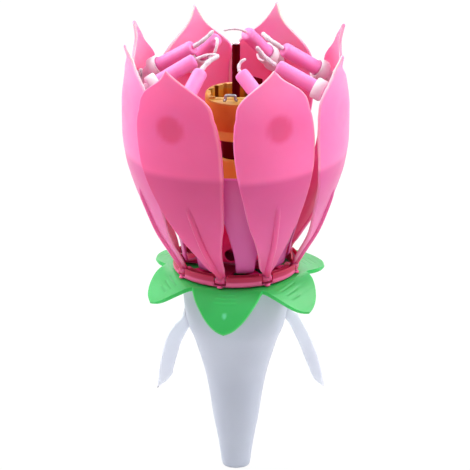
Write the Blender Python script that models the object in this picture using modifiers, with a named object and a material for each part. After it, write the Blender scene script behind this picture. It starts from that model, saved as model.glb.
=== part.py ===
"""Musical birthday candle shaped like a lotus bud, modelled for Blender 4.5.

Eight sprung petals stand closed round a yellow seed pod, each with a small wax candle on
its inner face. A fuse in the pod lights them, a spring lifts a spider under the petals'
heels, and all the petals swing open together on one hinge wire.
Units are metres, +Z is up, and the origin is the centre of the stem's foot.
An azimuth is measured round the stem from -Y, positive towards +X.
"""
import math

import bmesh
import bpy
from mathutils import Matrix, Vector

# Clearances
CLEAR = 0.0003
OVERRUN = 0.001
MERGE = 0.00002
SHARP_DEG = 35.0

# Stem: a hollow frosted cone with an open rim and two side fins
STEM_HEIGHT = 0.0586
STEM_FOOT_RADIUS = 0.0040
STEM_TOP_RADIUS = 0.0156
STEM_WALL = 0.0012
STEM_FOOT_THICKNESS = 0.0016
STEM_FOOT_ROUND = 0.0005
STEM_TAPER_SHARES = [(0.0, 0.0), (0.131, 0.095), (0.268, 0.224), (0.403, 0.328),
                     (0.505, 0.431), (0.623, 0.603), (0.70, 0.733), (0.745, 0.836),
                     (0.853, 0.948), (1.0, 1.0)]
STEM_SEGMENTS = 32
FIN_TOP_BELOW_RIM = 0.0076
FIN_THICKNESS = 0.0014
FIN_REACH_LEFT = 0.0229
FIN_DROP_LEFT = 0.0268
FIN_SHARES_LEFT = [(0.633, 0.0), (0.651, 0.086), (0.694, 0.194), (0.764, 0.257),
                   (0.838, 0.343), (0.882, 0.418), (0.913, 0.504), (0.943, 0.612),
                   (0.974, 0.765), (1.0, 0.981), (0.983, 1.0), (0.825, 0.873),
                   (0.790, 0.765), (0.747, 0.627), (0.707, 0.504), (0.655, 0.396),
                   (0.607, 0.321), (0.572, 0.276)]
FIN_REACH_RIGHT = 0.0256
FIN_DROP_RIGHT = 0.0265
FIN_SHARES_RIGHT = [(0.570, 0.0), (0.602, 0.068), (0.658, 0.121), (0.699, 0.151),
                    (0.742, 0.226), (0.809, 0.347), (0.855, 0.445), (0.898, 0.555),
                    (0.938, 0.672), (0.969, 0.796), (0.988, 0.906), (1.0, 0.985),
                    (0.980, 1.0), (0.898, 0.928), (0.861, 0.868), (0.824, 0.774),
                    (0.777, 0.657), (0.734, 0.540), (0.680, 0.423), (0.641, 0.336),
                    (0.594, 0.249), (0.531, 0.174)]

# Base housing: the cup of the music works, which plugs into the stem
HOUSING_RADIUS = 0.0124
HOUSING_DEPTH = 0.0140
HOUSING_WALL = 0.0010
HOUSING_CHAMFER = 0.0010
FLANGE_THICKNESS = 0.0008
FLANGE_OVERHANG = 0.0014
POST_RADIUS = 0.0022
POST_TIP_RADIUS = 0.0013
POST_TIP_LENGTH = 0.0100
HOUSING_SEGMENTS = 28

# Music works
CELL_RADIUS = 0.0029
CELL_THICKNESS = 0.0021
CELL_CENTRE_RADIUS = 0.0069
CELL_ROUND = 0.0003
BOARD_THICKNESS = 0.0008
BOARD_RISE = 0.0020
CHIP_RADIUS = 0.0020
CHIP_HEIGHT = 0.0012
LEAF_LENGTH = 0.0045
LEAF_WIDTH = 0.0018
LEAF_THICKNESS = 0.0003
LEAF_RISE = 0.0022
CLIP_THICKNESS = 0.0003
CLIP_WEB = 0.0014

# Opening spring round the post
SPRING_WIRE_RADIUS = 0.0003
SPRING_TURNS = 7
SPRING_POINTS_PER_TURN = 9
SPRING_MIN_GAP = 0.0004

# Calyx: a green disc with six drooping leaves
CALYX_THICKNESS = 0.0012
CALYX_BORE = 0.0050
CALYX_DISC_INSIDE_RING = 0.0006
CALYX_VALLEY_OVER_RING = 0.0026
CALYX_TIP_OVER_RING = 0.0091
CALYX_DROOP = 0.0112
CALYX_DROOP_POWER = 1.7
CALYX_AZIMUTH_DEG = -8.0
LEAF_COUNT = 6
LEAF_STEPS = 10
LEAF_ROWS = 5
LEAF_DROOP_SHARES = [1.0, 0.71, 0.15, 0.3, 0.1, 0.63]
LEAF_OUTLINE_SHARES = [(0.0, 1.0), (0.2, 0.93), (0.4, 0.80), (0.6, 0.60), (0.78, 0.38),
                       (0.9, 0.17), (1.0, 0.0)]

# Petal ring, with a groove for the hinge wire and a slot for each petal
RING_OVER_HINGE = 0.0010
RING_WIDTH = 0.00225
RING_FLOOR = 0.00055
RING_HEIGHT = 0.0033
RING_SEGMENTS = 40
HINGE_RADIUS = 0.0172
HINGE_RISE = 0.0021
WIRE_RADIUS = 0.0004
WIRE_STEPS = 40
WIRE_SIDES = 6

# Petals
PETAL_COUNT = 8
PETAL_FIRST_AZIMUTH_DEG = -15.0
PETAL_LEAN_DEG = [-22.5, -10.5, -6.2, -12.0, -6.3, -8.3, -10.6, -16.4]
PETAL_LEAN_START_SHARE = 0.03
PETAL_HEIGHT_SHARES = [0.975, 1.0, 0.972, 1.005, 1.005, 0.995, 1.0, 1.0]
PETAL_POINT_POWERS = [1.7, 1.7, 1.2, 1.0, 1.0, 1.0, 1.0, 1.2]
PETAL_POINT_START_SHARE = 0.8
PETAL_LEAN_POWER = 0.55
PETAL_TWIST_DEG = [10.0, 6.0, 0.0, -9.0, 6.0, 6.0, 8.0, 1.5]
PETAL_TWIST_FULL_SHARE = 0.2
PETAL_HEIGHT = 0.0677
PETAL_BULGE = 0.0154
PETAL_HALF_WIDTH = 0.0135
PETAL_THICKNESS = 0.0010
PETAL_MERIDIAN_SHARES = [(0.0, 0.0), (0.081, 0.208), (0.183, 0.468), (0.29, 0.662),
                         (0.397, 0.831), (0.471, 0.922), (0.594, 0.994), (0.727, 1.0),
                         (0.863, 0.942), (0.929, 0.935), (1.0, 1.026)]
PETAL_WIDTH_SHARES = [(0.0, 0.109), (0.022, 0.109), (0.045, 0.18), (0.112, 0.28),
                      (0.21, 0.46), (0.30, 0.64), (0.428, 0.82), (0.57, 0.97), (0.674, 1.0),
                      (0.765, 0.96), (0.815, 0.86), (0.851, 0.69), (0.882, 0.50), (0.926, 0.25),
                      (0.97, 0.105), (1.0, 0.035)]
PETAL_ROW_SHARES = [0.0, 0.022, 0.045, 0.11, 0.19, 0.28, 0.40, 0.53, 0.66, 0.765, 0.835,
                    0.885, 0.925, 0.965, 1.0]
PETAL_COLUMNS = 6
RIB_RADIUS = 0.0009
RIB_ROW_SHARES = [(0.008, 1.0), (0.05, 1.0), (0.12, 0.97), (0.20, 0.93), (0.27, 0.86),
                  (0.33, 0.7), (0.37, 0.3)]
BARREL_RADIUS = 0.00115
BARREL_HALF_WIDTH = 0.0015
BARREL_OFFSET = 0.0002
BARREL_SIDES = 10
HEEL_LENGTH = 0.0026
HEEL_THICKNESS = 0.0009
HEEL_HALF_WIDTH = 0.0012

# Lift spider, which the spring pushes up under the petals' heels
SPIDER_THICKNESS = 0.0010
SPIDER_HUB_RADIUS = 0.0060
SPIDER_ARM_HALF_WIDTH = 0.0013
SPIDER_RUNNING_GAP = 0.0004
SPIDER_TRAVEL = 0.0024

# Inner crown: eight lilac lobes on spokes
CROWN_THICKNESS = 0.0009
CROWN_LOBE_SHARE = 0.87
CROWN_HUB_RADIUS = 0.0090
CROWN_AZIMUTH_DEG = 10.0
CROWN_RISE = 0.0305
CROWN_RADIUS = 0.0225
CROWN_MERIDIAN_SHARES = [(0.373, 0.002), (0.489, -0.005), (0.60, -0.021), (0.68, -0.008),
                         (0.724, 0.146), (0.80, 0.343), (0.902, 0.606), (0.978, 0.869),
                         (1.0, 1.0)]
CROWN_HALF_ANGLE_SHARES = [0.50, 0.45, 0.45, 0.47, 0.54, 0.74, 0.97, 0.975, 0.975]
CROWN_HALF_ANGLE_DEG = 22.0
CROWN_COLUMNS = 4

# Music drum on the post, with its sound hole and piezo disc
DRUM_RADIUS = 0.0108
DRUM_WALL = 0.0009
DRUM_HEIGHT = 0.0133
DRUM_EDGE = 0.0009
DRUM_BOSS_WALL = 0.0016
SOUND_HOLE_RADIUS = 0.0019
SOUND_HOLE_RISE = 0.0021
SOUND_HOLE_AZIMUTH_DEG = -7.7
PIEZO_THICKNESS = 0.0004
PIEZO_RISE = 0.0058
DRUM_SEGMENTS = 30

# Column: lower pod, neck, seed pod, fuse and what is fixed to them
LOWER_POD_HEIGHT = 0.0157
LOWER_POD_RADIUS = 0.0082
LOWER_POD_SHARES = [(0.0, 0.86), (0.12, 0.96), (0.30, 1.0), (0.55, 0.93), (0.80, 0.79),
                    (0.95, 0.70), (1.0, 0.64)]
SOCKET_DEPTH_LOWER = 0.0040
NECK_RADIUS = 0.0043
NECK_GAP_HEIGHT = 0.0060
SOCKET_DEPTH_UPPER = 0.0020
POD_HEIGHT = 0.0130
POD_RADIUS = 0.0089
POD_SHARES = [(0.0, 0.60), (0.02, 0.86), (0.20, 0.90), (0.25, 0.93), (0.55, 0.985),
              (0.90, 1.0), (0.97, 0.99), (1.0, 0.95)]
POD_WALL = 0.0016
POD_FLOOR = 0.0050
POD_SHELF_DROP = 0.0007
POD_SHELF_BACK = 0.0029
POD_FRONT_DROP = 0.0009
POD_FRONT_OPEN = 0.0042
POD_GROOVE_COUNT = 7
POD_GROOVE_RADIUS = 0.0008
POD_NOTCH_RADIUS = 0.0009
POD_GROOVE_SPREAD_DEG = 150.0
POD_GROOVE_DEPTH_SHARE = 0.35
POD_NOTCH_DEPTH_SHARE = 0.2
POD_SEGMENTS = 32
FUSE_RADIUS = 0.00115
FUSE_TOP = 0.1303
FUSE_TIP_LENGTH = 0.0009
FUSE_TIP_ROUND = 0.0003
FUSE_BOTTOM_IN_NECK = 0.0080
STAPLE_WIRE_RADIUS = 0.00042
STAPLE_HALF_SPAN = 0.0014
STAPLE_HEIGHT = 0.0013
STAPLE_FOOT = 0.0006
STAPLE_FORWARD = 0.0038
STAPLE_OFFSET = 0.0016
BEAD_LENGTH = 0.0042
BEAD_WIDTH = 0.0024
BEAD_HEIGHT = 0.0016
BEAD_AZIMUTH_DEG = 139.0
BEAD_ROUND = 0.0005

# Mini candles, their holders and wicks
CANDLE_RADIUS = 0.00215
CANDLE_LENGTH = 0.0142
CANDLE_ROUND = 0.0004
CANDLE_SIDES = 12
CANDLE_BASE_OUT = 0.0088
CANDLE_BASE_HEIGHT_SHARE = 0.811
CANDLE_OUT_SHARES = [1.065, 1.023, 0.988, 1.0, 1.038, 1.038, 0.985, 0.95]
CANDLE_UP_SHARES = [0.978, 0.989, 1.002, 1.0, 0.984, 0.987, 1.005, 1.013]
CANDLE_RISE_DEG = [34.9, 38.1, 23.6, 34.3, 41.8, 35.2, 33.0, 26.5]
CANDLE_YAW_DEG = [5.0, 26.0, 1.0, 2.0, -16.0, 0.0, 2.0, 2.0]
HOLDER_WALL = 0.0007
HOLDER_FLOOR = 0.0010
HOLDER_DEPTH = 0.0022
HOLDER_FOOT_RADIUS = 0.0033
HOLDER_FOOT_THICKNESS = 0.0010
HOLDER_NECK_RADIUS = 0.0016
HOLDER_FOOT_SHARE = 0.752
HOLDER_BEND_SHARE = 0.35
HOLDER_ALONG_STEP = 0.02
HOLDER_ACROSS_STEP = 0.1
HOLDER_SIDES = 12
WICK_LENGTH = [0.0076, 0.0050, 0.0087, 0.0087, 0.0084, 0.0069, 0.0076, 0.0076]
WICK_RADIUS = [0.00075, 0.0005, 0.0008, 0.0008, 0.0004, 0.0005, 0.0007, 0.0005]
WICK_BEND_DEG = [40.0, 120.0, 60.0, 95.0, 70.0, 140.0, 55.0, 65.0]
WICK_ROLL_DEG = [120.0, 45.0, -35.0, 85.0, 135.0, 155.0, -70.0, 105.0]
WICK_STEPS = 7
WICK_SEAT = 0.0003

# Levels worked out from the sizes above
FLANGE_BOTTOM = STEM_HEIGHT + CLEAR
FLANGE_TOP = FLANGE_BOTTOM + FLANGE_THICKNESS
HOUSING_BOTTOM = FLANGE_BOTTOM - HOUSING_DEPTH
HOUSING_FLOOR_TOP = HOUSING_BOTTOM + HOUSING_WALL
CALYX_BOTTOM = FLANGE_TOP + CLEAR
CALYX_TOP = CALYX_BOTTOM + CALYX_THICKNESS
RING_BOTTOM = CALYX_TOP + CLEAR
RING_RADIUS = HINGE_RADIUS + RING_OVER_HINGE
RING_INNER_RADIUS = RING_RADIUS - RING_WIDTH
CALYX_DISC_RADIUS = RING_RADIUS - CALYX_DISC_INSIDE_RING
CALYX_VALLEY_RADIUS = RING_RADIUS + CALYX_VALLEY_OVER_RING
CALYX_TIP_RADIUS = RING_RADIUS + CALYX_TIP_OVER_RING
CANDLE_BASE_RADIUS = HINGE_RADIUS + CANDLE_BASE_OUT
HINGE_Z = RING_BOTTOM + HINGE_RISE
SPIDER_TOP = HINGE_Z - HEEL_THICKNESS / 2 - CLEAR
SPIDER_BOTTOM = SPIDER_TOP - SPIDER_THICKNESS
CROWN_HUB_BOTTOM = SPIDER_TOP + SPIDER_TRAVEL + CLEAR
CROWN_HUB_TOP = CROWN_HUB_BOTTOM + CROWN_THICKNESS
DRUM_BOTTOM = CROWN_HUB_TOP + CLEAR
DRUM_TOP = DRUM_BOTTOM + DRUM_HEIGHT
LOWER_POD_BOTTOM = DRUM_TOP + CLEAR
LOWER_POD_TOP = LOWER_POD_BOTTOM + LOWER_POD_HEIGHT
NECK_BOTTOM = LOWER_POD_TOP - SOCKET_DEPTH_LOWER + CLEAR
POD_BOTTOM = LOWER_POD_TOP + NECK_GAP_HEIGHT
NECK_TOP = POD_BOTTOM + SOCKET_DEPTH_UPPER - CLEAR
POD_TOP = POD_BOTTOM + POD_HEIGHT
SOCKET_RADIUS = NECK_RADIUS + CLEAR
FUSE_BORE = FUSE_RADIUS + CLEAR


def wipe_scene():
    for obj in list(bpy.data.objects):
        bpy.data.objects.remove(obj, do_unlink=True)


def make_collections():
    parts = bpy.data.collections.new("musical_birthday_candle")
    cutters = bpy.data.collections.new("cutters")
    bpy.context.scene.collection.children.link(parts)
    bpy.context.scene.collection.children.link(cutters)
    return parts, cutters


wipe_scene()
PARTS, CUTTERS = make_collections()


def make_material(name, color, roughness, metallic=0.0):
    material = bpy.data.materials.new(name)
    material.use_nodes = True
    shader = material.node_tree.nodes["Principled BSDF"]
    shader.inputs["Base Color"].default_value = (*color, 1.0)
    shader.inputs["Roughness"].default_value = roughness
    shader.inputs["Metallic"].default_value = metallic
    material.diffuse_color = (*color, 1.0)
    return material


FROSTED = make_material("frosted_plastic", (0.62, 0.66, 0.74), 0.45)
PINK = make_material("petal_pink", (0.95, 0.20, 0.42), 0.35)
LILAC = make_material("crown_lilac", (0.48, 0.15, 0.42), 0.40)
ROSE = make_material("ring_rose", (0.62, 0.10, 0.20), 0.40)
CRIMSON = make_material("crimson_plastic", (0.43, 0.01, 0.05), 0.45)
GREEN = make_material("calyx_green", (0.05, 0.50, 0.14), 0.40)
WHITE = make_material("holder_white", (0.80, 0.76, 0.78), 0.45)
WAX = make_material("candle_wax_pink", (0.95, 0.14, 0.36), 0.50)
WICK = make_material("waxed_wick", (0.72, 0.60, 0.66), 0.70)
ORANGE = make_material("pod_orange", (0.62, 0.24, 0.05), 0.50)
MAROON = make_material("fuse_maroon", (0.09, 0.003, 0.007), 0.60)
STEEL = make_material("steel_wire", (0.45, 0.45, 0.47), 0.30, 1.0)
BRASS = make_material("brass_disc", (0.65, 0.48, 0.18), 0.30, 1.0)
BOARD = make_material("board_brown", (0.20, 0.10, 0.03), 0.60)
EPOXY = make_material("chip_black", (0.01, 0.01, 0.01), 0.40)


def sample(table, x):
    """Read a table of (x, y) pairs at x on a smooth curve that never overshoots."""
    if x <= table[0][0]:
        return table[0][1]
    if x >= table[-1][0]:
        return table[-1][1]
    slopes = [(b[1] - a[1]) / (b[0] - a[0]) for a, b in zip(table, table[1:])]
    tangents = [slopes[0]]
    for left, right in zip(slopes, slopes[1:]):
        tangents.append(0.0 if left * right <= 0 else 2 * left * right / (left + right))
    tangents.append(slopes[-1])
    i = max(k for k in range(len(slopes)) if table[k][0] <= x)
    span = table[i + 1][0] - table[i][0]
    t = (x - table[i][0]) / span
    value = (2 * t**3 - 3 * t**2 + 1) * table[i][1] + (3 * t**2 - 2 * t**3) * table[i + 1][1]
    value += (t**3 - 2 * t**2 + t) * span * tangents[i] + (t**3 - t**2) * span * tangents[i + 1]
    return value


def radial(azimuth_deg):
    angle = math.radians(azimuth_deg)
    return Vector((math.sin(angle), -math.cos(angle), 0.0))


def link(obj, collection=None):
    (collection or PARTS).objects.link(obj)
    return obj


def mesh_object(name, verts, faces, material=None, collection=None):
    mesh = bpy.data.meshes.new(name)
    mesh.from_pydata([tuple(v) for v in verts], [], faces)
    obj = link(bpy.data.objects.new(name, mesh), collection)
    if material:
        mesh.materials.append(material)
    return obj


def smooth(obj):
    obj.data.shade_smooth()
    obj.data.set_sharp_from_angle(angle=math.radians(SHARP_DEG))
    return obj


def as_cutter(obj):
    obj.hide_render = True
    obj.display_type = "WIRE"
    return obj


def add_boolean(obj, other, operation):
    modifier = obj.modifiers.new("boolean_" + other.name, "BOOLEAN")
    modifier.operation = operation
    modifier.object = other
    modifier.solver = "EXACT"
    return as_cutter(other)


def add_bevel(obj, width, segments=1, angle_deg=40.0):
    modifier = obj.modifiers.new("rounded_edges", "BEVEL")
    modifier.width = width
    modifier.segments = segments
    modifier.limit_method = "ANGLE"
    modifier.angle_limit = math.radians(angle_deg)
    return obj


def turned(name, profile, segments, material=None, closed=False, collection=None):
    """Spin an (r, z) profile, listed down its outer side, round the Z axis."""
    verts = [(r, 0.0, z) for r, z in profile]
    edges = [(i, i + 1) for i in range(len(verts) - 1)]
    if closed:
        edges.append((len(verts) - 1, 0))
    mesh = bpy.data.meshes.new(name)
    mesh.from_pydata(verts, edges, [])
    obj = link(bpy.data.objects.new(name, mesh), collection)
    if material:
        mesh.materials.append(material)
    screw = obj.modifiers.new("turn", "SCREW")
    screw.axis = "Z"
    screw.angle = math.tau
    screw.steps = segments
    screw.render_steps = segments
    screw.use_merge_vertices = True
    screw.merge_threshold = MERGE
    screw.use_smooth_shade = True
    return obj


def apply_modifiers(obj):
    """Freeze an object's modifiers into its mesh and weld its seams."""
    bpy.context.view_layer.update()
    evaluated = obj.evaluated_get(bpy.context.evaluated_depsgraph_get())
    mesh = bpy.data.meshes.new_from_object(evaluated)
    work = bmesh.new()
    work.from_mesh(mesh)
    bmesh.ops.remove_doubles(work, verts=work.verts, dist=MERGE)
    bmesh.ops.recalc_face_normals(work, faces=work.faces)
    work.to_mesh(mesh)
    work.free()
    name = obj.name
    matrix = obj.matrix_world.copy()
    collections = list(obj.users_collection)
    parent = obj.parent
    bpy.data.objects.remove(obj, do_unlink=True)
    solid = bpy.data.objects.new(name, mesh)
    solid.matrix_world = matrix
    if parent:
        solid.parent = parent
    for collection in collections:
        collection.objects.link(solid)
    return solid


def tube(name, points, radius, material=None, shares=None, sides_level=1, collection=None):
    """A round tube along points, with an optional share of the radius at each."""
    curve = bpy.data.curves.new(name, "CURVE")
    curve.dimensions = "3D"
    curve.bevel_depth = radius
    curve.bevel_resolution = sides_level
    curve.use_fill_caps = True
    spline = curve.splines.new("POLY")
    spline.points.add(len(points) - 1)
    for i, point in enumerate(points):
        spline.points[i].co = (*point, 1.0)
        if shares:
            spline.points[i].radius = shares[i]
    obj = link(bpy.data.objects.new(name, curve), collection)
    if material:
        curve.materials.append(material)
    return apply_modifiers(obj)


def plate(name, outlines, thickness, material=None, collection=None):
    """A flat plate from closed outlines in the XY plane; later outlines are its holes."""
    curve = bpy.data.curves.new(name, "CURVE")
    curve.dimensions = "2D"
    curve.fill_mode = "BOTH"
    curve.extrude = thickness / 2
    for outline in outlines:
        spline = curve.splines.new("POLY")
        spline.points.add(len(outline) - 1)
        for point, (x, y) in zip(spline.points, outline):
            point.co = (x, y, 0.0, 1.0)
        spline.use_cyclic_u = True
    obj = link(bpy.data.objects.new(name, curve), collection)
    if material:
        curve.materials.append(material)
    return apply_modifiers(obj)


def circle_points(radius, count, centre=(0.0, 0.0)):
    step = math.tau / count
    return [(centre[0] + radius * math.cos(i * step), centre[1] + radius * math.sin(i * step))
            for i in range(count)]


def cylinder(name, radius, length, sides, material=None, collection=None):
    """A closed cylinder about its own Z axis, centred on its origin."""
    mesh = bpy.data.meshes.new(name)
    work = bmesh.new()
    bmesh.ops.create_cone(work, cap_ends=True, segments=sides, radius1=radius, radius2=radius,
                          depth=length)
    work.to_mesh(mesh)
    work.free()
    if material:
        mesh.materials.append(material)
    return link(bpy.data.objects.new(name, mesh), collection)


def block(name, size, material=None, collection=None):
    """A box of the given size, centred on its origin."""
    mesh = bpy.data.meshes.new(name)
    work = bmesh.new()
    bmesh.ops.create_cube(work, size=1.0)
    bmesh.ops.scale(work, vec=Vector(size), verts=work.verts)
    work.to_mesh(mesh)
    work.free()
    if material:
        mesh.materials.append(material)
    return link(bpy.data.objects.new(name, mesh), collection)


def grid_shell(name, rows, thickness, material=None, collection=None, closed=False):
    """A shell of the given thickness inside an open grid of points."""
    count = len(rows[0])
    verts = [point for row in rows for point in row]
    faces = []
    last = count if closed else count - 1
    for i in range(len(rows) - 1):
        for j in range(last):
            k = (j + 1) % count
            faces.append((i * count + j, i * count + k, (i + 1) * count + k, (i + 1) * count + j))
    obj = mesh_object(name, verts, faces, material, collection)
    shell = obj.modifiers.new("wall", "SOLIDIFY")
    shell.thickness = thickness
    shell.offset = -1.0
    shell.use_even_offset = True
    return obj


def merge_objects(name, objects, material=None, collection=None):
    """Put several solids into one object, in world space."""
    work = bmesh.new()
    bpy.context.view_layer.update()
    for obj in objects:
        mesh = obj.data.copy()
        mesh.transform(obj.matrix_world)
        work.from_mesh(mesh)
        bpy.data.meshes.remove(mesh)
        bpy.data.objects.remove(obj, do_unlink=True)
    mesh = bpy.data.meshes.new(name)
    work.to_mesh(mesh)
    work.free()
    mesh.materials.clear()
    if material:
        mesh.materials.append(material)
    return link(bpy.data.objects.new(name, mesh), collection)


def stem_outer_profile():
    """The stem's outside as (r, z), from its rim down to the edge of its foot."""
    span = STEM_TOP_RADIUS - STEM_FOOT_RADIUS
    taper = [(STEM_FOOT_RADIUS + span * share, STEM_HEIGHT * level)
             for level, share in STEM_TAPER_SHARES[1:]]
    return (taper[::-1]
            + [(STEM_FOOT_RADIUS, STEM_FOOT_ROUND), (STEM_FOOT_RADIUS - STEM_FOOT_ROUND, 0.0)])


def fin_outline(side, reach, drop, shares):
    """One fin's outline as (x, z), down its outer edge, across its tip and up inside."""
    top = STEM_HEIGHT - FIN_TOP_BELOW_RIM
    return [(side * reach * out, top - drop * down) for out, down in shares]


def build_stem():
    outer = stem_outer_profile()
    inner = [(r - STEM_WALL, z) for r, z in outer[:-2]]
    floor_radius = STEM_FOOT_RADIUS - STEM_WALL
    inside = [(0.0, STEM_FOOT_THICKNESS), (floor_radius, STEM_FOOT_THICKNESS)] + inner[::-1]
    stem = turned("stem", inside + outer + [(0.0, 0.0)], STEM_SEGMENTS, FROSTED)
    for side, reach, drop, shares in (
            (-1, FIN_REACH_LEFT, FIN_DROP_LEFT, FIN_SHARES_LEFT),
            (1, FIN_REACH_RIGHT, FIN_DROP_RIGHT, FIN_SHARES_RIGHT)):
        fin = plate("fin_solid", [fin_outline(side, reach, drop, shares)],
                    FIN_THICKNESS, collection=CUTTERS)
        fin.rotation_euler.x = math.radians(90.0)
        add_boolean(stem, fin, "UNION")
    return stem


def build_base_housing():
    inner = HOUSING_RADIUS - HOUSING_WALL
    shoulder = CROWN_HUB_BOTTOM - CLEAR
    flange_radius = STEM_TOP_RADIUS + FLANGE_OVERHANG
    tip = shoulder + POST_TIP_LENGTH
    profile = [(0.0, tip), (POST_TIP_RADIUS, tip), (POST_TIP_RADIUS, shoulder),
               (POST_RADIUS, shoulder), (POST_RADIUS, HOUSING_FLOOR_TOP),
               (inner, HOUSING_FLOOR_TOP), (inner, FLANGE_TOP), (flange_radius, FLANGE_TOP),
               (flange_radius, FLANGE_BOTTOM), (HOUSING_RADIUS, FLANGE_BOTTOM),
               (HOUSING_RADIUS, HOUSING_BOTTOM + HOUSING_CHAMFER),
               (HOUSING_RADIUS - HOUSING_CHAMFER, HOUSING_BOTTOM), (0.0, HOUSING_BOTTOM)]
    return turned("base_housing", profile, HOUSING_SEGMENTS, WHITE)


def build_music_works():
    """Two button cells on the housing floor, a clip between them, the board and its parts."""
    low = HOUSING_FLOOR_TOP + CLEAR
    cell_z = low + CLIP_THICKNESS + CLEAR + CELL_THICKNESS / 2
    for name, side in (("button_cell_left", -1), ("button_cell_right", 1)):
        cell = cylinder(name, CELL_RADIUS, CELL_THICKNESS, 16, STEEL)
        cell.location = (side * CELL_CENTRE_RADIUS, 0.0, cell_z)
        smooth(add_bevel(cell, CELL_ROUND))
    spring_hole = POST_RADIUS + 4 * CLEAR + 2 * SPRING_WIRE_RADIUS
    clip_reach = CELL_CENTRE_RADIUS + CELL_RADIUS
    clip = plate("battery_clip", [circle_points(clip_reach, 20),
                                  circle_points(spring_hole, 12)[::-1]], CLIP_THICKNESS, BRASS)
    trim = block("clip_trim", (2 * (clip_reach + OVERRUN), 2 * (spring_hole + CLIP_WEB),
                               4 * OVERRUN), collection=CUTTERS)
    add_boolean(clip, trim, "INTERSECT")
    clip.location.z = low + CLIP_THICKNESS / 2
    trim.location.z = clip.location.z
    board_z = cell_z + CELL_THICKNESS / 2 + BOARD_RISE
    board_radius = HOUSING_RADIUS - HOUSING_WALL - CLEAR
    board = plate("circuit_board", [circle_points(board_radius, 24),
                                    circle_points(spring_hole, 12)[::-1]],
                  BOARD_THICKNESS, BOARD)
    board.location.z = board_z
    board_top = board_z + BOARD_THICKNESS / 2
    dome = [(CHIP_RADIUS * math.sin(a), CHIP_HEIGHT * math.cos(a))
            for a in (0.0, math.radians(30.0), math.radians(60.0), math.radians(90.0))]
    chip = turned("music_chip", dome + [(0.0, 0.0)], 12, EPOXY)
    chip.location = (0.0, -CELL_CENTRE_RADIUS, board_top + CLEAR)
    leaf_foot = board_top + CLEAR
    outline = [(0.0, 0.0), (LEAF_LENGTH / 2, 0.0), (LEAF_LENGTH, LEAF_RISE),
               (LEAF_LENGTH, LEAF_RISE + LEAF_THICKNESS), (LEAF_LENGTH / 2, LEAF_THICKNESS),
               (0.0, LEAF_THICKNESS)]
    leaf = plate("switch_leaf", [outline], LEAF_WIDTH, BRASS)
    leaf.rotation_euler = (math.radians(90.0), 0.0, math.radians(180.0))
    leaf.location = (board_radius - LEAF_WIDTH, LEAF_WIDTH, leaf_foot)
    return board_top


def build_opening_spring():
    """A compression spring as one unbroken tube, closed up to a flat first and last turn."""
    radius = POST_RADIUS + 2 * CLEAR + SPRING_WIRE_RADIUS
    bottom = HOUSING_FLOOR_TOP + CLEAR + SPRING_WIRE_RADIUS
    top = SPIDER_BOTTOM - CLEAR - SPRING_WIRE_RADIUS
    count = SPRING_TURNS * SPRING_POINTS_PER_TURN
    points = []
    for i in range(count + 1):
        t = i / count
        angle = math.tau * SPRING_TURNS * t
        points.append(Vector((radius * math.cos(angle), radius * math.sin(angle),
                              bottom + (top - bottom) * t)))
    gaps = [(points[i] - points[j]).length - 2 * SPRING_WIRE_RADIUS
            for i in range(len(points))
            for j in range(i + SPRING_POINTS_PER_TURN // 2 + 1, len(points))]
    print("opening spring: least gap between its curls is %.2f mm, and it needs %.2f mm"
          % (min(gaps) * 1000, SPRING_MIN_GAP * 1000))
    return smooth(tube("opening_spring", points, SPRING_WIRE_RADIUS, STEEL))


def calyx_point(azimuth_deg, share):
    """A point on the calyx's top, from the edge of its disc (0) to its outline (1)."""
    spread = 360.0 / LEAF_COUNT
    turn = (azimuth_deg - CALYX_AZIMUTH_DEG) / spread
    leaf = int(math.floor(turn + 0.5)) % LEAF_COUNT
    off = abs(turn - math.floor(turn + 0.5)) * 2
    edge = CALYX_VALLEY_RADIUS + (CALYX_TIP_RADIUS - CALYX_VALLEY_RADIUS) * sample(
        LEAF_OUTLINE_SHARES, off)
    radius = CALYX_DISC_RADIUS + (edge - CALYX_DISC_RADIUS) * share
    along = radius * math.cos(math.radians(off * spread / 2))
    run = max(0.0, (along - CALYX_DISC_RADIUS) / (CALYX_TIP_RADIUS - CALYX_DISC_RADIUS))
    droop = CALYX_DROOP * LEAF_DROOP_SHARES[leaf] * run**CALYX_DROOP_POWER
    return radial(azimuth_deg) * radius + Vector((0.0, 0.0, CALYX_TOP - droop))


def build_calyx():
    steps = LEAF_COUNT * LEAF_STEPS
    azimuths = [CALYX_AZIMUTH_DEG + 360.0 * i / steps for i in range(steps)]
    top = Vector((0.0, 0.0, CALYX_TOP))
    rows = [[radial(a) * CALYX_BORE + top for a in azimuths]]
    for i in range(LEAF_ROWS + 1):
        rows.append([calyx_point(a, i / LEAF_ROWS) for a in azimuths])
    calyx = grid_shell("calyx", rows[::-1], CALYX_THICKNESS, GREEN, closed=True)
    return smooth(calyx)


def petal_azimuth(index):
    return PETAL_FIRST_AZIMUTH_DEG + 360.0 * index / PETAL_COUNT


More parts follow.
